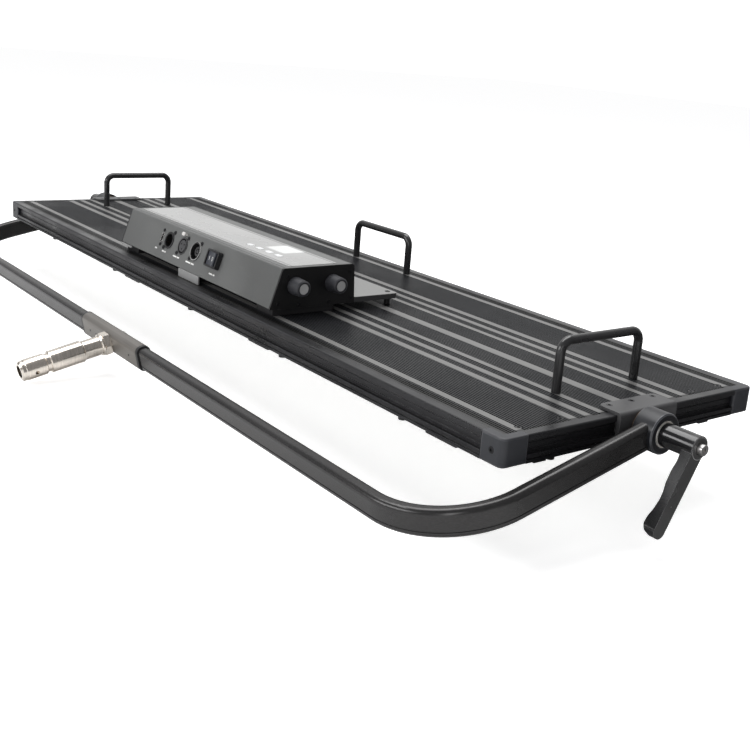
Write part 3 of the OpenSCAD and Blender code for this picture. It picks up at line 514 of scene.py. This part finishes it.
def grown(tree, mesh, **values):
    """The mesh that a geometry tree makes from a starting mesh, with the tree's inputs set by name."""
    carrier = bpy.data.objects.new("grown", mesh)
    bpy.context.scene.collection.objects.link(carrier)
    modifier = carrier.modifiers.new("grow", "NODES")
    modifier.node_group = tree
    ids = {item.name: item.identifier for item in tree.interface.items_tree if item.in_out == "INPUT"}
    for label, value in values.items():
        modifier[ids[label.replace("_", " ").title()]] = value
    made = bpy.data.meshes.new_from_object(carrier.evaluated_get(bpy.context.evaluated_depsgraph_get()))
    bpy.data.objects.remove(carrier)
    return made


screw_tree, taken, given = geometry_tree("socket_screw", [
    ("Head Radius", "NodeSocketFloat"), ("Under Radius", "NodeSocketFloat"), ("Head Height",
                                                                              "NodeSocketFloat"),
    ("Shank Radius", "NodeSocketFloat"), ("Shank Length", "NodeSocketFloat"), ("Socket Radius",
                                                                               "NodeSocketFloat"),
    ("Rim", "NodeSocketFloat"), ("Material", "NodeSocketMaterial")])
inset = joined(screw_tree, "ShaderNodeMath", {0: taken.outputs["Head Radius"], 1: taken.outputs["Rim"]},
               "SUBTRACT")
lower = joined(screw_tree, "ShaderNodeMath", {0: taken.outputs["Head Height"], 1: taken.outputs["Rim"]},
               "SUBTRACT")
head = joined(screw_tree, "GeometryNodeMeshCone", {
    "Radius Top": taken.outputs["Head Radius"], "Radius Bottom": taken.outputs["Under Radius"],
    "Depth": lower.outputs[0]}, vertices=40)
crown = joined(screw_tree, "GeometryNodeMeshCone", {
    "Radius Top": inset.outputs[0], "Radius Bottom": taken.outputs["Head Radius"],
    "Depth": taken.outputs["Rim"]}, vertices=40)
up_to_crown = joined(screw_tree, "ShaderNodeCombineXYZ", {2: lower.outputs[0]})
crown_up = joined(screw_tree, "GeometryNodeTransform", {"Geometry": crown.outputs[0],
                                                        "Translation": up_to_crown.outputs[0]})
whole_head = joined(screw_tree, "GeometryNodeMeshBoolean", {"Mesh 2": head.outputs[0]}, "UNION")
screw_tree.links.new(crown_up.outputs[0], whole_head.inputs["Mesh 2"])
hexagon = joined(screw_tree, "GeometryNodeMeshCylinder", {
    "Radius": taken.outputs["Socket Radius"], "Depth": taken.outputs["Head Height"]}, vertices=6)
up_to_top = joined(screw_tree, "ShaderNodeCombineXYZ", {2: taken.outputs["Head Height"]})
hexagon_up = joined(screw_tree, "GeometryNodeTransform", {"Geometry": hexagon.outputs[0],
                                                          "Translation": up_to_top.outputs[0]})
cut_head = joined(screw_tree, "GeometryNodeMeshBoolean",
                  {"Mesh 1": whole_head.outputs[0], "Mesh 2": hexagon_up.outputs[0]}, "DIFFERENCE")
shank = joined(screw_tree, "GeometryNodeMeshCylinder", {
    "Radius": taken.outputs["Shank Radius"], "Depth": taken.outputs["Shank Length"]}, vertices=24)
half_down = joined(screw_tree, "ShaderNodeMath", {0: taken.outputs["Shank Length"]}, "MULTIPLY")
half_down.inputs[1].default_value = -0.5
down = joined(screw_tree, "ShaderNodeCombineXYZ", {2: half_down.outputs[0]})
shank_down = joined(screw_tree, "GeometryNodeTransform", {"Geometry": shank.outputs[0],
                                                          "Translation": down.outputs[0]})
screw = joined(screw_tree, "GeometryNodeJoinGeometry", {"Geometry": cut_head.outputs[0]})
screw_tree.links.new(shank_down.outputs[0], screw.inputs["Geometry"])
which_way = screw_tree.nodes.new("GeometryNodeInputNamedAttribute")
which_way.data_type = "FLOAT_VECTOR"
which_way.inputs["Name"].default_value = "facing"
turned = joined(screw_tree, "FunctionNodeAlignRotationToVector", {"Vector": which_way.outputs["Attribute"]})
turned.axis = "Z"
finish_instances(screw_tree, taken, given, taken.outputs["Geometry"], screw.outputs[0], turned.outputs[0])

slope_up = Vector(next(joint["axis"] for joint in frame["joints"] if joint["name"] == "power_rocker"))
slope_in = Vector(next(joint["axis"] for joint in frame["joints"] if joint["name"] == "latch_push"))
out_of_yoke = Vector(frame["record"]["mounts"][0]["axis"])


def loose_parts(node):
    """The points of each separate solid in a CAD node."""
    shape = bmesh.new()
    shape.from_mesh(frame["nodes"][node].data)
    bmesh.ops.remove_doubles(shape, verts=shape.verts, dist=2e-6)
    left, parts = set(shape.verts), []
    while left:
        group, edge = set(), [left.pop()]
        while edge:
            vert = edge.pop()
            group.add(vert)
            near = {other.other_vert(vert) for other in vert.link_edges} - group
            edge.extend(near)
            group |= near
        left -= group
        parts.append([vert.co.copy() for vert in group])
    shape.free()
    return parts


sunk_head, cap_head, cap_radius_from = 0.002, 0.0026, 0.004
alike = 0.00005


def screws(node, facing_of, head_height_of):
    """Screws in the places of a CAD node's solids; each solid gives its own radii and length."""
    kinds = {}
    for points in loose_parts(node):
        low = Vector([min(p[i] for p in points) for i in range(3)])
        high = Vector([max(p[i] for p in points) for i in range(3)])
        centre = (low + high) / 2
        facing = facing_of(centre, high - low).normalized()
        along = [(p - centre).dot(facing) for p in points]
        off = [((p - centre) - facing * (p - centre).dot(facing)).length for p in points]
        tip, top = min(along), max(along)
        head_r = max(off)
        shank_r = max(r for r, a in zip(off, along) if a < tip + (top - tip) * 0.1)
        head_h = min(head_height_of(head_r), (top - tip) * 0.98)
        kind = tuple(round(value, 5) for value in (head_r, shank_r, head_h, top - tip))
        kinds.setdefault(kind, []).append((centre + facing * (top - head_h), facing))
    shape = bmesh.new()
    for (head_r, shank_r, head_h, length), places in kinds.items():
        mesh = bpy.data.meshes.new("places")
        mesh.from_pydata([place for place, facing in places], [], [])
        way = mesh.attributes.new("facing", "FLOAT_VECTOR", "POINT")
        way.data.foreach_set("vector", [value for place, facing in places for value in facing])
        countersunk = node == "panel_screws" and abs(head_h - sunk_head) < alike
        shape.from_mesh(grown(
            screw_tree, mesh, head_radius=head_r, under_radius=shank_r if countersunk else head_r,
            head_height=head_h, shank_radius=shank_r, shank_length=length - head_h,
            socket_radius=head_r * 0.5, rim=head_r * 0.09, material=screw_black))
    mesh = bpy.data.meshes.new(node)
    shape.to_mesh(mesh)
    shape.free()
    mesh.materials.clear()
    mesh.materials.append(screw_black)
    return add_piece(node + "_shown", flat_faces_stay_flat(mesh, 35), body_of[node], slot_of[node], node)


def panel_facing(centre, size):
    if size.y > max(size.x, size.z):
        return Vector((0, centre.y - heat_middle, 0))
    return Vector((0, 0, -1 if size.z > 0.015 else 1))


def box_facing(centre, size):
    if abs(size.y - size.z) < alike:
        return Vector((centre.x, 0, 0))
    return Vector((0, 0, 1)) if abs(size.x - size.y) < alike else -slope_in


screws("panel_screws", panel_facing, lambda r: cap_head if r > cap_radius_from else sunk_head)
screws("box_screws", box_facing, lambda r: 0.0008)
screws("sleeve_screws", lambda centre, size: out_of_yoke, lambda r: 0.0012)

# ---- Light source ----
# Emitter boards under the heat sink, white solder mask on aluminium, with rows of phosphor emitters under
# clear domes; the opal sheet in front of them spreads their light and slides in the rails.
board_white = finish("board_white", (0.78, 0.78, 0.75), 0.35, grain=0.0004, bump=0.05, rim_amount=0.0)
eased("led_boards", board_white, 0.0002)

emitter_tree, taken, given = geometry_tree("emitters", [
    ("Span X", "NodeSocketFloat"), ("Span Y", "NodeSocketFloat"), ("Columns", "NodeSocketInt"),
    ("Rows", "NodeSocketInt"), ("Size", "NodeSocketVector"), ("Middle", "NodeSocketVector"),
    ("Material", "NodeSocketMaterial")])
spots = joined(emitter_tree, "GeometryNodeMeshGrid", {
    "Size X": taken.outputs["Span X"], "Size Y": taken.outputs["Span Y"],
    "Vertices X": taken.outputs["Columns"], "Vertices Y": taken.outputs["Rows"]})
spots_moved = joined(emitter_tree, "GeometryNodeTransform", {
    "Geometry": spots.outputs[0], "Translation": taken.outputs["Middle"]})
package = joined(emitter_tree, "GeometryNodeMeshCube", {"Size": taken.outputs["Size"]})
finish_instances(emitter_tree, taken, given, spots_moved.outputs[0], package.outputs[0])

emitters = loose_parts("led_packages")
emitter_size = Vector([max(p[i] for p in emitters[0]) - min(p[i] for p in emitters[0]) for i in range(3)])
emitters_low, emitters_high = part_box("led_packages")
emitter_rows = len({round(min(p.y for p in points), 4) for points in emitters})
led_yellow = finish("led_phosphor", (0.72, 0.5, 0.09), 0.25, grain=0.0004, bump=0.1, rim_amount=0.0, coat=0.5)
add_piece("led_packages_shown", grown(
    emitter_tree, bpy.data.meshes.new("start"), span_x=emitters_high.x - emitters_low.x - emitter_size.x,
    span_y=emitters_high.y - emitters_low.y - emitter_size.y, columns=len(emitters) // emitter_rows,
    rows=emitter_rows, size=emitter_size, middle=(emitters_low + emitters_high) / 2, material=led_yellow),
    "panel", slot_of["led_packages"], "led_packages")

opal = finish("opal_sheet", (0.82, 0.82, 0.79), 0.3, grain=0.001, bump=0.04, rim_amount=0.0, coat=0.4, patch=2.0)
eased("diffuser", opal, 0.0003)

# ---- Accessory studs ----
# Black moulded studs and bars under the lower flange, which hold a softbox or a grid; each is pressed in.
trim_black = finish("trim_black", (0.014, 0.014, 0.015), 0.4, grain=0.0005, bump=0.2, rim_colour=(0.1, 0.1, 0.1),
                    rim_amount=0.3)
eased("accessory_studs", trim_black, 0.0005, 3)

# ---- Handles ----
# Bent steel rod with a semi-gloss black powder coat, held by a screw up each leg from under the heat sink.
handle_paint = finish("handle_paint", (0.02, 0.02, 0.021), 0.27, grain=0.0007, bump=0.12, coat=0.35,
                      patch=0.04)
for node in ("handle_right", "handle_left", "handle_side"):
    eased(node, handle_paint, 0.0003)

# ---- Pivots ----
# A cast bracket on each end of the panel, powder coated satin grey, with the stud that the yoke turns on, a
# pressed fibre friction disc, and the yoke's cast boss with its bronze bush and stainless washer.
bracket_coat = finish("bracket_coat", (0.07, 0.07, 0.072), 0.4, 0.1, grain=0.0006, bump=0.3,
                      rim_colour=(0.3, 0.3, 0.31), rim_amount=0.45)
boss_coat = finish("boss_coat", (0.0135, 0.0145, 0.018), 0.36, 0.1, grain=0.0005, bump=0.2,
                   rim_colour=(0.16, 0.165, 0.18), rim_amount=0.8)
bright_steel = finish("bright_steel", (0.6, 0.59, 0.58), 0.24, 1.0, lines=(1500, 60, 60), bump=0.06, rim_amount=0.0)
# The washers are pale and only partly metallic so that they show as a bright ring: partly the steel's own colour,
# partly a painted highlight.
washer_steel_and_highlight = finish("washer_steel_and_highlight", (0.8, 0.76, 0.7), 0.3, 0.6, lines=(1500, 60, 60), bump=0.05, rim_amount=0.0)
fibre = finish("friction_fibre", (0.16, 0.11, 0.07), 0.8, grain=0.0012, bump=0.5, rim_amount=0.0)
bronze = finish("bronze_bush", (0.5, 0.33, 0.16), 0.32, 1.0, lines=(1500, 60, 60), bump=0.08, rim_amount=0.0)
for side in ("right", "left"):
    eased(f"pivot_bracket_{side}", bracket_coat, 0.0008, 3)
    eased(f"yoke_boss_{side}", boss_coat, 0.0006, 3)
eased("pivot_studs", bright_steel, 0.0003)
eased("friction_discs", fibre, 0.0002)
eased("boss_bushes", bronze, 0.0002)
eased("boss_washers", washer_steel_and_highlight, 0.0004)

# ---- Yoke ----
# Two bent flat-oval aluminium tubes, anodised black, that meet inside a satin grey sleeve with black end
# trims; the sleeve's set screws lock them.
tube_black = finish("yoke_tube_black", (0.045, 0.044, 0.0442), 0.25, 0.6, lines=(300, 300, 1200), bump=0.06,
                    rim_colour=(0.14, 0.14, 0.145), patch=0.12, uneven=0.02)
sleeve_satin = finish("sleeve_satin", (0.17, 0.16, 0.148), 0.38, 0.5, lines=(6, 1200, 1200), bump=0.08,
                      rim_colour=(0.3, 0.29, 0.28))
for side in ("right", "left"):
    eased(f"yoke_tube_{side}", tube_black, 0.0002)
eased("yoke_sleeve", sleeve_satin, 0.0004)
eased("sleeve_end_trims", trim_black, 0.0006, 3)

# ---- Stand spigot ----
# Turned steel with a warm bright nickel plate, its nut inside the yoke; the tail has a 16 mm receiver and a
# cross hole.
nickel = finish("nickel_plate", (0.66, 0.61, 0.55), 0.17, 1.0, lines=(40, 1500, 40), bump=0.05, uneven=0.05,
                rim_colour=(0.9, 0.87, 0.82), rim_amount=0.7)
eased("stand_spigot", nickel, 0.0005, 3)
eased("spigot_nut", bright_steel, 0.0004)

# ---- Clamping levers ----
# Cast zinc levers, gloss black with a finer ground outer face, on splined steel cores: a lever is pulled
# out against its spring to turn it free of the core. A stainless socket screw holds each one on.


def off_axis(tree, point, axis):
    """The distance from a line through a point."""
    away = joined(tree, "ShaderNodeVectorMath",
                  {0: tree.nodes.new("ShaderNodeTexCoord").outputs["Object"]}, "SUBTRACT")
    away.inputs[1].default_value = point
    turned_off = joined(tree, "ShaderNodeVectorMath", {0: away.outputs[0]}, "CROSS_PRODUCT")
    turned_off.inputs[1].default_value = axis
    return joined(tree, "ShaderNodeVectorMath", {0: turned_off.outputs[0]}, "LENGTH").outputs["Value"]


pivot_at = next(joint["pos_m"] for joint in frame["joints"] if joint["name"] == "panel_tilt")
hub_line = (0.0112, 0.00035)
ground_face = (0.05, 0.0495, 0.0495)


def ground_outside(tree, look):
    outer = within(tree, sum_of(tree, "ABSOLUTE", coordinate(tree, 0, "Normal")), 1, 0.03)
    look = mixed(tree, outer, look, ground_face)
    line = times(tree, outer, within(tree, off_axis(tree, pivot_at, (1, 0, 0)), *hub_line))
    return mixed(tree, line, look, shade(ground_face, 6))


# The pale rim colour on the levers' eased edges is a painted highlight along those edges.
lever_black = finish("lever_black", (0.008, 0.008, 0.009), 0.2, grain=0.0005, bump=0.08, coat=0.3,
                     rim_colour=(0.4, 0.4, 0.405), rim_amount=0.9, extra=ground_outside)
for side in ("right", "left"):
    eased(f"lever_{side}", lever_black, 0.0016, 4)
    eased(f"lever_core_{side}", bright_steel, 0.0004)

# ---- Driver box ----
# A folded aluminium cover, powder coated grey, on a deeper tray that stands off the heat sink on black
# blocks and tabs; a black plate closes each end, its edge polished bright along the top.
slope_foot = Vector((0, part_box("box_cover")[0].y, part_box("box_cover")[0].z))
cover_grey = finish("cover_grey", (0.115, 0.118, 0.116), 0.4, grain=0.0007, bump=0.25,
                    rim_colour=(0.42, 0.42, 0.42),
                    rim_amount=0.5, patch=0.12)
# Painted light and shade: the tray's upward faces are painted light grey and its other faces dark.
tray_top_lit_grey, tray_side_shade_grey = (0.27, 0.27, 0.265), (0.06, 0.06, 0.062)
tray_grey = finish("tray_grey", tray_top_lit_grey, 0.42, grain=0.0007, bump=0.2, rim_colour=(0.5, 0.5, 0.5), rim_amount=0.3,
                   extra=lambda tree, look: mixed(tree, facing_up(tree), tray_side_shade_grey, look))
# Painted reflection: the tabs and strips of the supports in front of the sloping face are painted light grey.
tab_painted_reflection = (0.3, 0.3, 0.3)


def reflecting_tabs(tree, look):
    return mixed(tree, sum_of(tree, "LESS_THAN", coordinate(tree, 1), slope_foot.y - 0.0003), look, tab_painted_reflection)


support_black = finish("support_black", (0.016, 0.016, 0.017), 0.5, grain=0.0006, bump=0.2, rim_amount=0.3,
                       extra=reflecting_tabs)
plate_black = finish("end_plate_black", (0.009, 0.009, 0.0095), 0.42, grain=0.0008, bump=0.3,
                     rim_colour=(0.35, 0.35, 0.34),
                     rim_amount=0.5)
eased("box_tray", tray_grey, 0.0004)
eased("box_supports", support_black, 0.0004)
eased("box_cover", cover_grey, 0.0004)
for side in ("right", "left"):
    eased(f"end_plate_{side}", plate_black, 0.0005)

# ---- Controls on top ----
# A printed film with darker borders round the display and four white keys; the keys stand on switches on
# the board.
film_low, film_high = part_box("top_overlay")
film_bands = ((film_low.y + 0.004, 0.0016), (film_high.y - 0.004, 0.0016))


def printed_bands(tree, look):
    for band in film_bands:
        look = mixed(tree, times(tree, within(tree, coordinate(tree, 1), *band), 0.7), look,
                     (0.12, 0.12, 0.12))
    return look


film_grey = finish("overlay_film", (0.4, 0.4, 0.395), 0.3, grain=0.0006, bump=0.08, rim_amount=0.2, coat=0.2,
                   extra=printed_bands)
eased("top_overlay", film_grey, 0.0001, 1)
display = finish("display_pale", (0.8, 0.82, 0.8), 0.12, grain=0.001, bump=0.02, rim_amount=0.0, coat=0.8)
eased("display_window", display, 0.0002)
key_white = finish("key_white", (0.86, 0.87, 0.88), 0.35, grain=0.0005, bump=0.1, rim_amount=0.1,
                   rim_colour=(0.7, 0.7, 0.7))
for number in range(1, 5):
    eased(f"button_{number}", key_white, 0.0004, 3)
board_green = finish("circuit_green", (0.03, 0.14, 0.06), 0.3, lines=(900, 60, 60), bump=0.1, rim_amount=0.0)
eased("control_board", board_green, 0.0002, 1)
case_metal = finish("supply_case", (0.5, 0.5, 0.48), 0.35, 1.0, lines=(6, 900, 900), bump=0.1, rim_amount=0.3)
eased("power_supply", case_metal, 0.0005)
eased("encoders", case_metal, 0.0002)

# ---- Sockets ----
# Flanged sockets let into the sloping front: a data port, a male and a female audio connector, and a mains
# inlet with a bright ring. Their pale printed names are left as plain bars.
socket_black = finish("socket_black", (0.012, 0.012, 0.013), 0.38, grain=0.0004, bump=0.15,
                      rim_colour=(0.2, 0.2, 0.2),
                      rim_amount=0.6)


def centre_of(node):
    low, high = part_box(node)
    return (low + high) / 2


def ringed(name, node, colour, ring_colour, *rings):
    """Socket plastic with rings of another colour round its axis, each a radius and a half width."""
    def draw(tree, look):
        distance = off_axis(tree, centre_of(node), slope_in)
        for ring in rings:
            look = mixed(tree, within(tree, distance, *ring), look, ring_colour)
        return look
    return finish(name, colour, 0.34, grain=0.0004, bump=0.12, rim_colour=(0.2, 0.2, 0.2), rim_amount=0.5, extra=draw)


eased("data_port", bright_steel, 0.0002)
eased("xlr_male", socket_black, 0.0003)
gold = finish("gold_pins", (0.8, 0.55, 0.2), 0.2, 1.0, grain=0.0003, bump=0.05, rim_amount=0.0)
eased("xlr_pins", gold, 0.0001, 1)
latch_bright = finish("latch_bright", (0.85, 0.83, 0.8), 0.25, 0.3, grain=0.0003, bump=0.05, rim_amount=0.0)
eased("xlr_female", ringed("socket_grey", "xlr_female", (0.05, 0.05, 0.053), (0.009, 0.009, 0.009),
                           (0.0116, 0.0008)), 0.0003)
eased("power_inlet", ringed("inlet_ringed", "power_inlet", (0.012, 0.012, 0.013), (0.5, 0.5, 0.49),
                            (0.0126, 0.0004)), 0.0003)
eased("xlr_latch", latch_bright, 0.0005, 3)
eased("switch_bezel", socket_black, 0.0005, 3)

# The inlet's insert: a ribbed core and the ring round it, set a little behind the flange
insert_depth, insert_end = 0.0025, 0.0085
insert_rings = ((0.0024, 0.0), (0.0066, 0.0042))
insert_steps = 40
inlet_face = centre_of("power_inlet")
inlet_face -= slope_in * (inlet_face - slope_foot).dot(slope_in)
shape = bmesh.new()
for outer_r, inner_r in insert_rings:
    loops = []
    for radius, depth in ((inner_r, insert_end), (inner_r, insert_depth), (outer_r, insert_depth),
                          (outer_r, insert_end)):
        if radius:
            loops.append([shape.verts.new(
                inlet_face + slope_in * depth
                + Vector((1, 0, 0)) * radius * math.cos(step * math.tau / insert_steps)
                + slope_up * radius * math.sin(step * math.tau / insert_steps))
                for step in range(insert_steps)])
    rounds = list(zip(loops, loops[1:])) + ([(loops[-1], loops[0])] if inner_r else [])
    for near, far in rounds:
        for step in range(insert_steps):
            shape.faces.new((near[step], near[step - 1], far[step - 1], far[step]))
    if not inner_r:
        shape.faces.new(loops[0])
        shape.faces.new(list(reversed(loops[-1])))
bmesh.ops.recalc_face_normals(shape, faces=shape.faces)
insert_mesh = bpy.data.meshes.new("inlet_insert")
shape.to_mesh(insert_mesh)
shape.free()
insert_grey = finish("insert_grey", (0.045, 0.045, 0.047), 0.4, grain=0.0003, bump=0.1, rim_amount=0.0)
insert_mesh.materials.append(insert_grey)
add_piece("inlet_insert", flat_faces_stay_flat(insert_mesh, 40), "panel", "socket_black")


def plates(name, body, material, slot, blocks):
    """Thin blocks in one piece; each is a centre and its three half edges."""
    shape = bmesh.new()
    for centre, *edges in blocks:
        turn = Matrix([edge.normalized() for edge in edges]).transposed().to_4x4()
        size = Matrix.Diagonal([edge.length * 2 for edge in edges] + [1])
        bmesh.ops.create_cube(shape, size=1, matrix=Matrix.Translation(centre) @ turn @ size)
    bmesh.ops.recalc_face_normals(shape, faces=shape.faces)
    mesh = bpy.data.meshes.new(name)
    shape.to_mesh(mesh)
    shape.free()
    mesh.materials.append(material)
    return add_piece(name, mesh, body, slot)


# Where each bar stands along the box and up the slope, and how long it is, in millimetres
label_bars = ((-105, 12, 8), (-80, 11.5, 13), (-42, 11.5, 20), (-1, 11.5, 25), (63, 9.5, 17))
bar_height, bar_proud, bar_gap = 0.0021, 0.0001, 0.0016
bars = []
for x, up, length in label_bars:
    words = (0.62, 0.38) if length > 10 else (1,)
    start = (x - length / 2) / 1000
    for share in words:
        width = length / 1000 * share - bar_gap
        middle = slope_foot + Vector((start + width / 2, 0, 0)) + slope_up * up / 1000
        middle -= slope_in * bar_proud / 2
        bars.append((middle, Vector((width / 2, 0, 0)), slope_up * bar_height / 2, slope_in * bar_proud / 2))
        start += width + bar_gap
label_ink = finish("label_ink", (0.8, 0.8, 0.78), 0.5, grain=0.0004, bump=0.1, rim_amount=0.0)
plates("socket_labels", "panel", label_ink, "button_white", bars)

# ---- Power switch ----
# A dark semi-gloss rocker in a black bezel, with a pale bar for on and a pale ring for off printed on its
# two faces.
rocker_dark = finish("rocker_dark", (0.03, 0.034, 0.045), 0.28, grain=0.0004, bump=0.08,
                     rim_colour=(0.09, 0.1, 0.12))
eased("switch_rocker", rocker_dark, 0.0005, 3)
rocker_at = Vector(next(joint["pos_m"] for joint in frame["joints"] if joint["name"] == "power_rocker"))
rocker_tilt = math.radians(8)
rocker_x = Vector((1, 0, 0)) * math.cos(rocker_tilt) - slope_in * math.sin(rocker_tilt)
rocker_y = slope_in * math.cos(rocker_tilt) + Vector((1, 0, 0)) * math.sin(rocker_tilt)
face_half, face_mid, face_edge = 0.0103, 0.0072, 0.0084
mark_half, mark_thick, mark_depth = 0.0027, 0.0004, 0.00006
marks = []
for side in (-1, 1):
    along = (rocker_x * side * face_half - rocker_y * (face_edge - face_mid)).normalized()
    inward = rocker_y - along * rocker_y.dot(along)
    middle = rocker_at + rocker_x * side * face_half / 2 - rocker_y * (face_edge + face_mid) / 2
    middle -= inward * mark_depth * 0.5
    if side < 0:
        marks.append((middle, along * mark_thick, slope_up * mark_half, inward * mark_depth))
    else:
        for step in range(16):
            angle = step * math.tau / 16
            outward = along * math.cos(angle) + slope_up * math.sin(angle)
            sideways = slope_up * math.cos(angle) - along * math.sin(angle)
            marks.append((middle + outward * mark_half * 0.9, outward * mark_thick,
                          sideways * mark_half * 0.2, inward * mark_depth))
plates("switch_marks", "switch_rocker", label_ink, "button_white", marks)

# ---- Knobs ----
# Two dimmer knobs with a soft dark skirt, fluted by hand grip, and a turned aluminium cap on the end of each.
cap_radius = 0.0065


def knob_finish(name, node):
    def cap(tree, look):
        end = within(tree, coordinate(tree, 0, "Normal"), 1, 0.05)
        on_cap = sum_of(tree, "LESS_THAN", off_axis(tree, centre_of(node), (1, 0, 0)), cap_radius)
        return mixed(tree, times(tree, end, on_cap), look, (0.5, 0.5, 0.5))
    return finish(name, (0.035, 0.036, 0.042), 0.55, grain=0.0007, bump=0.25, rim_colour=(0.1, 0.1, 0.11),
                  extra=cap)


for node in ("knob_front", "knob_rear"):
    eased(node, knob_finish(node + "_grip", node), 0.0002)
